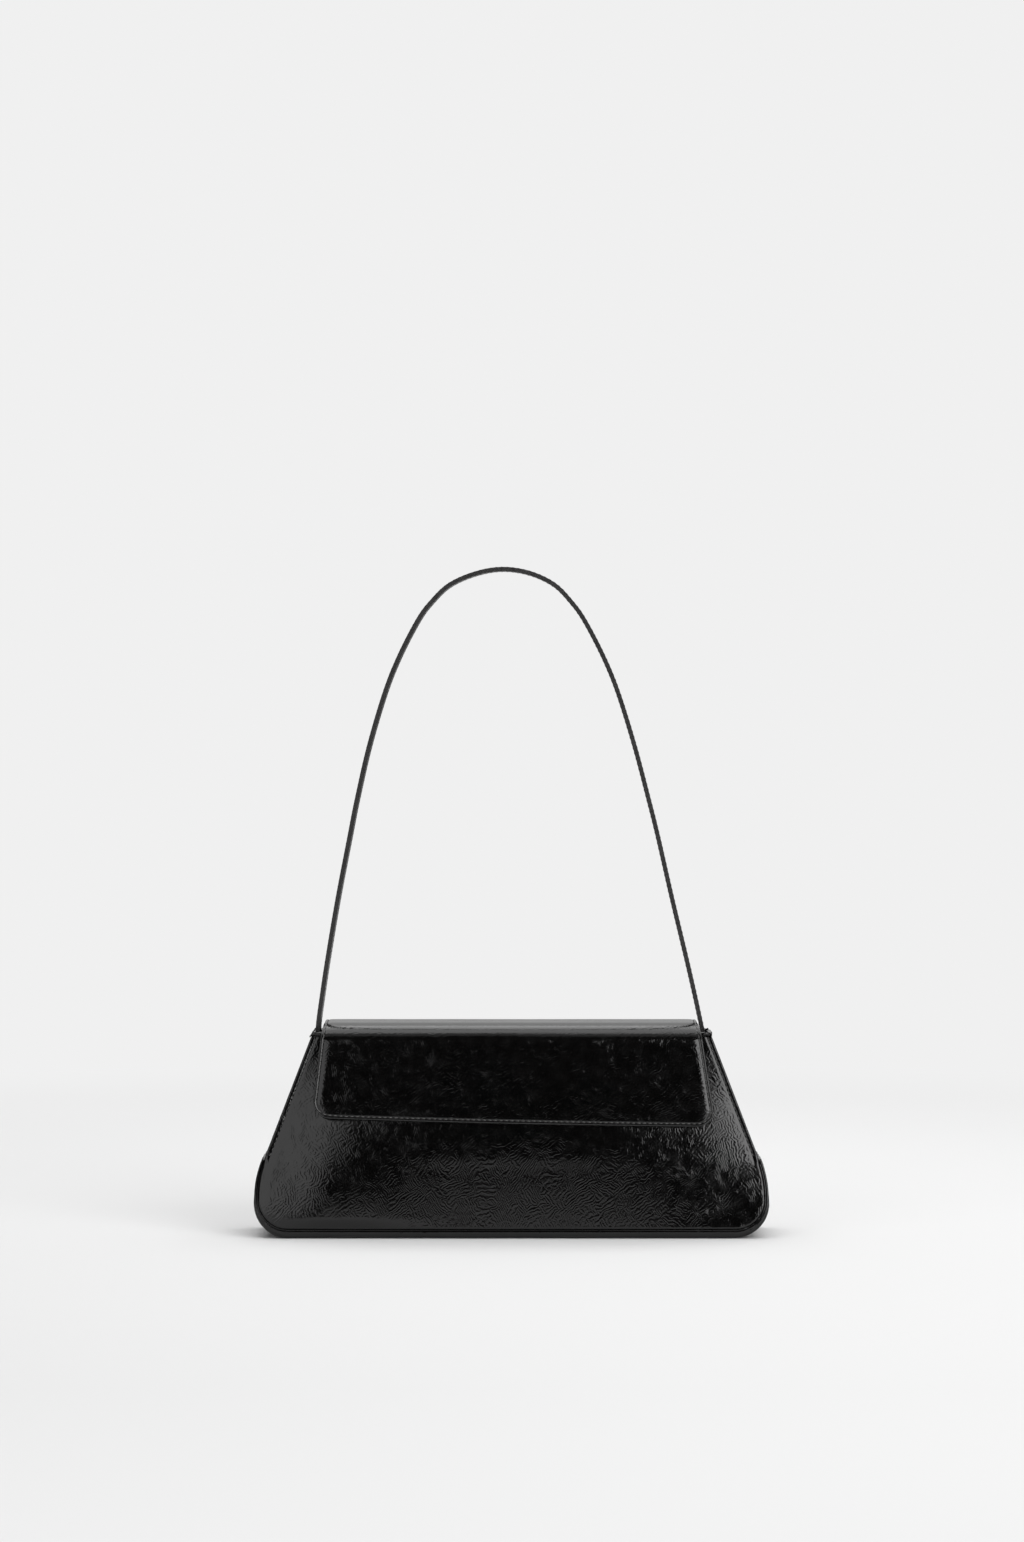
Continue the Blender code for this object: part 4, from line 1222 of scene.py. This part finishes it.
# %% Lining cloth
def twill(name, colour):
    recipe = new_material(name)
    turned = recipe.node("Mapping", Vector=recipe.place, Rotation=(0.0, math.radians(45), 0.0))
    ribs = recipe.node("TexWave", Vector=turned.outputs[0], Scale=420.0, Distortion=0.6).outputs["Fac"]
    normal = recipe.relief(recipe.plus(ribs, recipe.noise(900.0)), 0.12 * MM)
    # Painted shade: the cloth's tone follows the rib relief and is darker in the grooves between the ribs.
    shade = recipe.tones(ribs, colour, 0.6, 1.3)
    sheen = {"Roughness": 0.85, "Sheen_Weight": 0.25, "Sheen_Roughness": 0.5}
    return recipe.finish(Base_Color=shade, Normal=normal, **sheen)


LINING_FINISH = twill("black_twill", (0.018, 0.018, 0.02))

# %% Facings, linings and pocket
FACING_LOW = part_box("front_facing")[0].z
FACING_DEPTH = 1.7 * MM
FACING_LEATHER = 0.8 * MM
LINING_DEPTH = 2.5 * MM
LINING_CLOTH = 0.6 * MM
POCKET_DEPTH = 3.4 * MM
INNER_MARGIN = 4.8 * MM
CLOTH_WAVE = 17 * MM
ROOM_FOR_BOARD = 1.9 * MM
BOARD_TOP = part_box("front_stiffener")[1].z


def inner_sheet(name, side, depth, thickness, width_at, low, high, loose):
    """A sheet behind the front or back wall, between two heights, that may hang a little loose."""

    def place(share, z, layer):
        x = share * width_at(z)
        slack = loose * (1 + noise.noise(Vector((x, side, z)) / CLOTH_WAVE)) * (1 - share**2)
        slack += ROOM_FOR_BOARD * smooth((BOARD_TOP + 14 * MM - z) / (13 * MM))
        y = half_depth(z) + swell(x, z) - depth - layer * thickness - slack
        return Vector((x, side * y, z))

    return thin_sheet(name, steps(-1.0, 1.0, 60), steps(low, high, 36), place, 0.1 * MM)


def facing_width(z):
    return half_width(z) - INNER_MARGIN


def lining_width(z):
    return half_width(z, INNER_MARGIN)


def pocket_width(z):
    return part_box("slip_pocket")[1].x


def declare_lining(width_at, low, high, behind):
    """Work out the widths of the flat cloth over its height; they are not kept. Behind is not used."""
    widths = [width_at(z) for z in steps(low, high, 60)]


def line_wall(name, node, side, depth, width_at, loose, behind):
    """A lining cloth behind a wall, as high as its solid: made and dressed."""
    low, high = (corner.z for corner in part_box(node))
    cloth = inner_sheet(name, side, depth, LINING_CLOTH, width_at, low, high, loose)
    dress(cloth, LINING_FINISH, "lining", node)
    declare_lining(width_at, low, high, behind)


for word, side in WALLS:
    size = (FACING_DEPTH, FACING_LEATHER, facing_width, FACING_LOW, PANEL_TOP)
    facing = inner_sheet(f"{word}_facing_leather", side, *size, 0.0)
    dress(facing, INNER_FINISH, "inner_leather", f"{word}_facing")
    hang = (LINING_DEPTH, lining_width, 0.15 * MM)
    line_wall(f"{word}_lining_cloth", f"{word}_lining", side, *hang, f"{word}_stiffener")
hang = (POCKET_DEPTH, pocket_width, 0.2 * MM)
line_wall("slip_pocket_cloth", "slip_pocket", BACK, *hang, "back_lining_cloth")
print("facings from", round(FACING_LOW / MM, 1), "mm up")

# %% Base and end linings
LINING_EDGE = LINING_DEPTH + 0.9 * MM
BASE_LINING_IN = 3.5 * MM
END_LINING_IN = 5.6 * MM
base_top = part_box("base_lining")[1].z
base_cloth = rolled_strip("base_lining_cloth", BASE_LINING_IN, LINING_CLOTH, LINING_EDGE, base_top, 0.0)
dress(base_cloth, LINING_FINISH, "lining", "base_lining")
spots = [point for point, outward in strip_path(BASE_LINING_IN, base_top)]
run = sum((after - before).length for before, after in zip(spots, spots[1:]))
for word, side in SIDES:
    size = (END_LINING_IN, LINING_CLOTH, LINING_EDGE, 0.0, 0.2 * MM)
    cloth = end_sheet(f"{word}_end_lining", side, *size)
    dress(cloth, LINING_FINISH, "lining", f"{word}_side_lining")
    declare_lining(half_depth, STEP_HEIGHT - TUCK_HEIGHT, PANEL_TOP, f"{word}_gusset_leather")

# %% [markdown]
# ## Snap, boards and magnet
#
# These are hard, flat pieces whose shape the model already has. They keep it and get a finish: brushed
# nickel, the dull grey of a magnet, and grey board.

# %% Hard finishes
def plain_finish(name, colour, roughness, metallic, scale, bump_height, stretch=(1.0, 1.0, 1.0)):
    recipe = new_material(name)
    longer = recipe.node("Mapping", Vector=recipe.place, Scale=stretch)
    grain = recipe.noise(scale, 3.0, longer.outputs[0])
    gloss = recipe.span(grain, 0.3, 0.7, roughness - 0.06, roughness + 0.06)
    shade = recipe.tones(grain, colour, 0.82, 1.1)
    normal = recipe.relief(grain, bump_height)
    return recipe.finish(Base_Color=shade, Roughness=gloss, Normal=normal, Metallic=metallic)


NICKEL = plain_finish("brushed_nickel", (0.62, 0.6, 0.56), 0.28, 1.0, 900.0, 0.02 * MM, (0.1, 1.0, 1.0))
MAGNET = plain_finish("magnet_grey", (0.12, 0.12, 0.13), 0.42, 1.0, 500.0, 0.03 * MM)
BOARD = plain_finish("grey_board", (0.22, 0.2, 0.17), 0.88, 0.0, 700.0, 0.06 * MM)
HARD_FINISHES = (
    (NICKEL, ("snap_socket", "snap_stud", "socket_washer", "stud_washer")),
    (MAGNET, ("snap_magnet",)),
    (BOARD, ("front_stiffener", "back_stiffener", "flap_stiffener", "base_board")),
)
for finish, names in HARD_FINISHES:
    for name in names:
        mesh = frame["nodes"][name].data
        mesh.materials.clear()
        mesh.materials.append(finish)
    print(finish.name, "on", *names)

# %% [markdown]
# ## Studio
#
# The photograph has a seamless pale ground. Here it is a wide round floor with the same pale colour as the
# far background. Near the bag the floor is lit and holds the shadow, and further out it fades to the plain
# background tone. The lamps reach the front of the floor better than the back, so its tone rises a little
# towards the back. Together this leaves no horizon.

# %% Floor
BACKGROUND = 0.872
FLOOR_RADIUS = 12.0
FLOOR_DROP = 0.2 * MM
FADE_FROM = 0.45
FADE_TO = 1.25
TONE_FRONT = (-0.56, 0.72)
TONE_BACK = (0.77, 0.885)


def floor_finish():
    recipe = new_material("pale_floor")
    away = recipe.node("VectorMath", {"operation": "LENGTH"}, Vector=recipe.place).outputs["Value"]
    fade = recipe.span(away, FADE_FROM, FADE_TO, 0.0, 1.0)
    fade.node.interpolation_type = "SMOOTHSTEP"
    seen = recipe.times(recipe.node("LightPath").outputs["Is Camera Ray"], fade)
    glow = recipe.node("Emission", Color=toned((1, 1, 1), BACKGROUND)).outputs[0]
    mixed = recipe.result("MixShader", seen, recipe.shader.outputs[0], glow)
    recipe.feed(recipe.tree.nodes["Material Output"].inputs["Surface"], mixed)
    backwards = recipe.node("SeparateXYZ", Vector=recipe.place).outputs["Y"]
    paler = recipe.span(backwards, TONE_FRONT[0], TONE_BACK[0], TONE_FRONT[1], TONE_BACK[1])
    tone = recipe.node("CombineColor", Red=paler, Green=paler, Blue=paler).outputs[0]
    return recipe.finish(Base_Color=tone, Roughness=0.9, Specular_IOR_Level=0.1)


disc = bmesh.new()
bmesh.ops.create_circle(disc, cap_ends=True, segments=96, radius=FLOOR_RADIUS)
floor_mesh = bpy.data.meshes.new("studio_floor")
disc.to_mesh(floor_mesh)
disc.free()
floor_mesh.materials.append(floor_finish())
floor = placed("studio_floor", floor_mesh)
floor.location.z = -FLOOR_DROP
floor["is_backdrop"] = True

# %% [markdown]
# A lacquered black leather is nearly all reflection, so the lights are its colours. A large soft box hangs
# overhead and lights the crest of the flap, a tall one stands at the right of the camera, and a white card
# at the left. Straight ahead the studio is dark, which is what makes the flap's front so black.

# %% Lights
def soft_box(name, centre, target, width, height, strength):
    """A rectangular lamp of an even brightness, aimed at a point; 1 is the brightness of white."""
    data = bpy.data.lights.new(name, "AREA")
    data.shape = "RECTANGLE"
    data.size = width
    data.size_y = height
    data.energy = strength * math.pi * width * height
    lamp = placed(name, data)
    lamp.location = centre
    lamp.rotation_mode = "QUATERNION"
    lamp.rotation_quaternion = (Vector(target) - Vector(centre)).to_track_quat("-Z", "Y")
    lamp.visible_camera = False
    print(name, "gives", round(data.energy, 1), "W")


AIM = (0.0, 0.0, 0.06)
LAMPS = (
    ("overhead_box", (0.1, 0.28, 1.9), (0.1, 0.28, 0.0), 2.4, 1.8, 2.15),
    ("ceiling_cloth", (0.1, 0.3, 2.0), (0.1, 0.3, 0.0), 2.8, 3.2, 0.5),
    ("right_box", (1.145, -1.687, 0.8), AIM, 1.42, 1.6, 4.9),
    ("left_card", (-1.05, -1.735, 0.65), AIM, 1.46, 1.3, 1.55),
)
for row in LAMPS:
    soft_box(*row)

# %% Background
world = bpy.data.worlds.new("studio")
bpy.context.scene.world = world
studio = Recipe(world)
direction = studio.node("SeparateXYZ", Vector=studio.node("TexCoord").outputs["Generated"]).outputs
behind = studio.span(direction["Y"], 0.0, 0.4, 0.025, 1.0)
higher = studio.span(direction["Z"], 0.0, 0.8, 0.45, 1.8)
mirrored = studio.node("Background", Strength=studio.times(behind, higher)).outputs[0]
fill = studio.node("Background", Strength=0.14).outputs[0]
plain = studio.tree.nodes["Background"]
studio.feed(plain.inputs["Color"], toned((1, 1, 1), BACKGROUND))
rays = studio.node("LightPath").outputs
unlit = studio.result("MixShader", rays["Is Glossy Ray"], fill, mirrored)
shown = studio.result("MixShader", rays["Is Camera Ray"], unlit, plain.outputs[0])
studio.feed(studio.tree.nodes["World Output"].inputs["Surface"], shown)
bpy.context.scene.view_settings.view_transform = "Standard"
print("background tone:", BACKGROUND)

# %% Size and finish
low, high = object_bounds()
{"cad": [list(cad_low), list(cad_high)], "visual": [list(low), list(high)]}
print("dressed bag, mm:", [round(side * 1000, 1) for side in high - low])
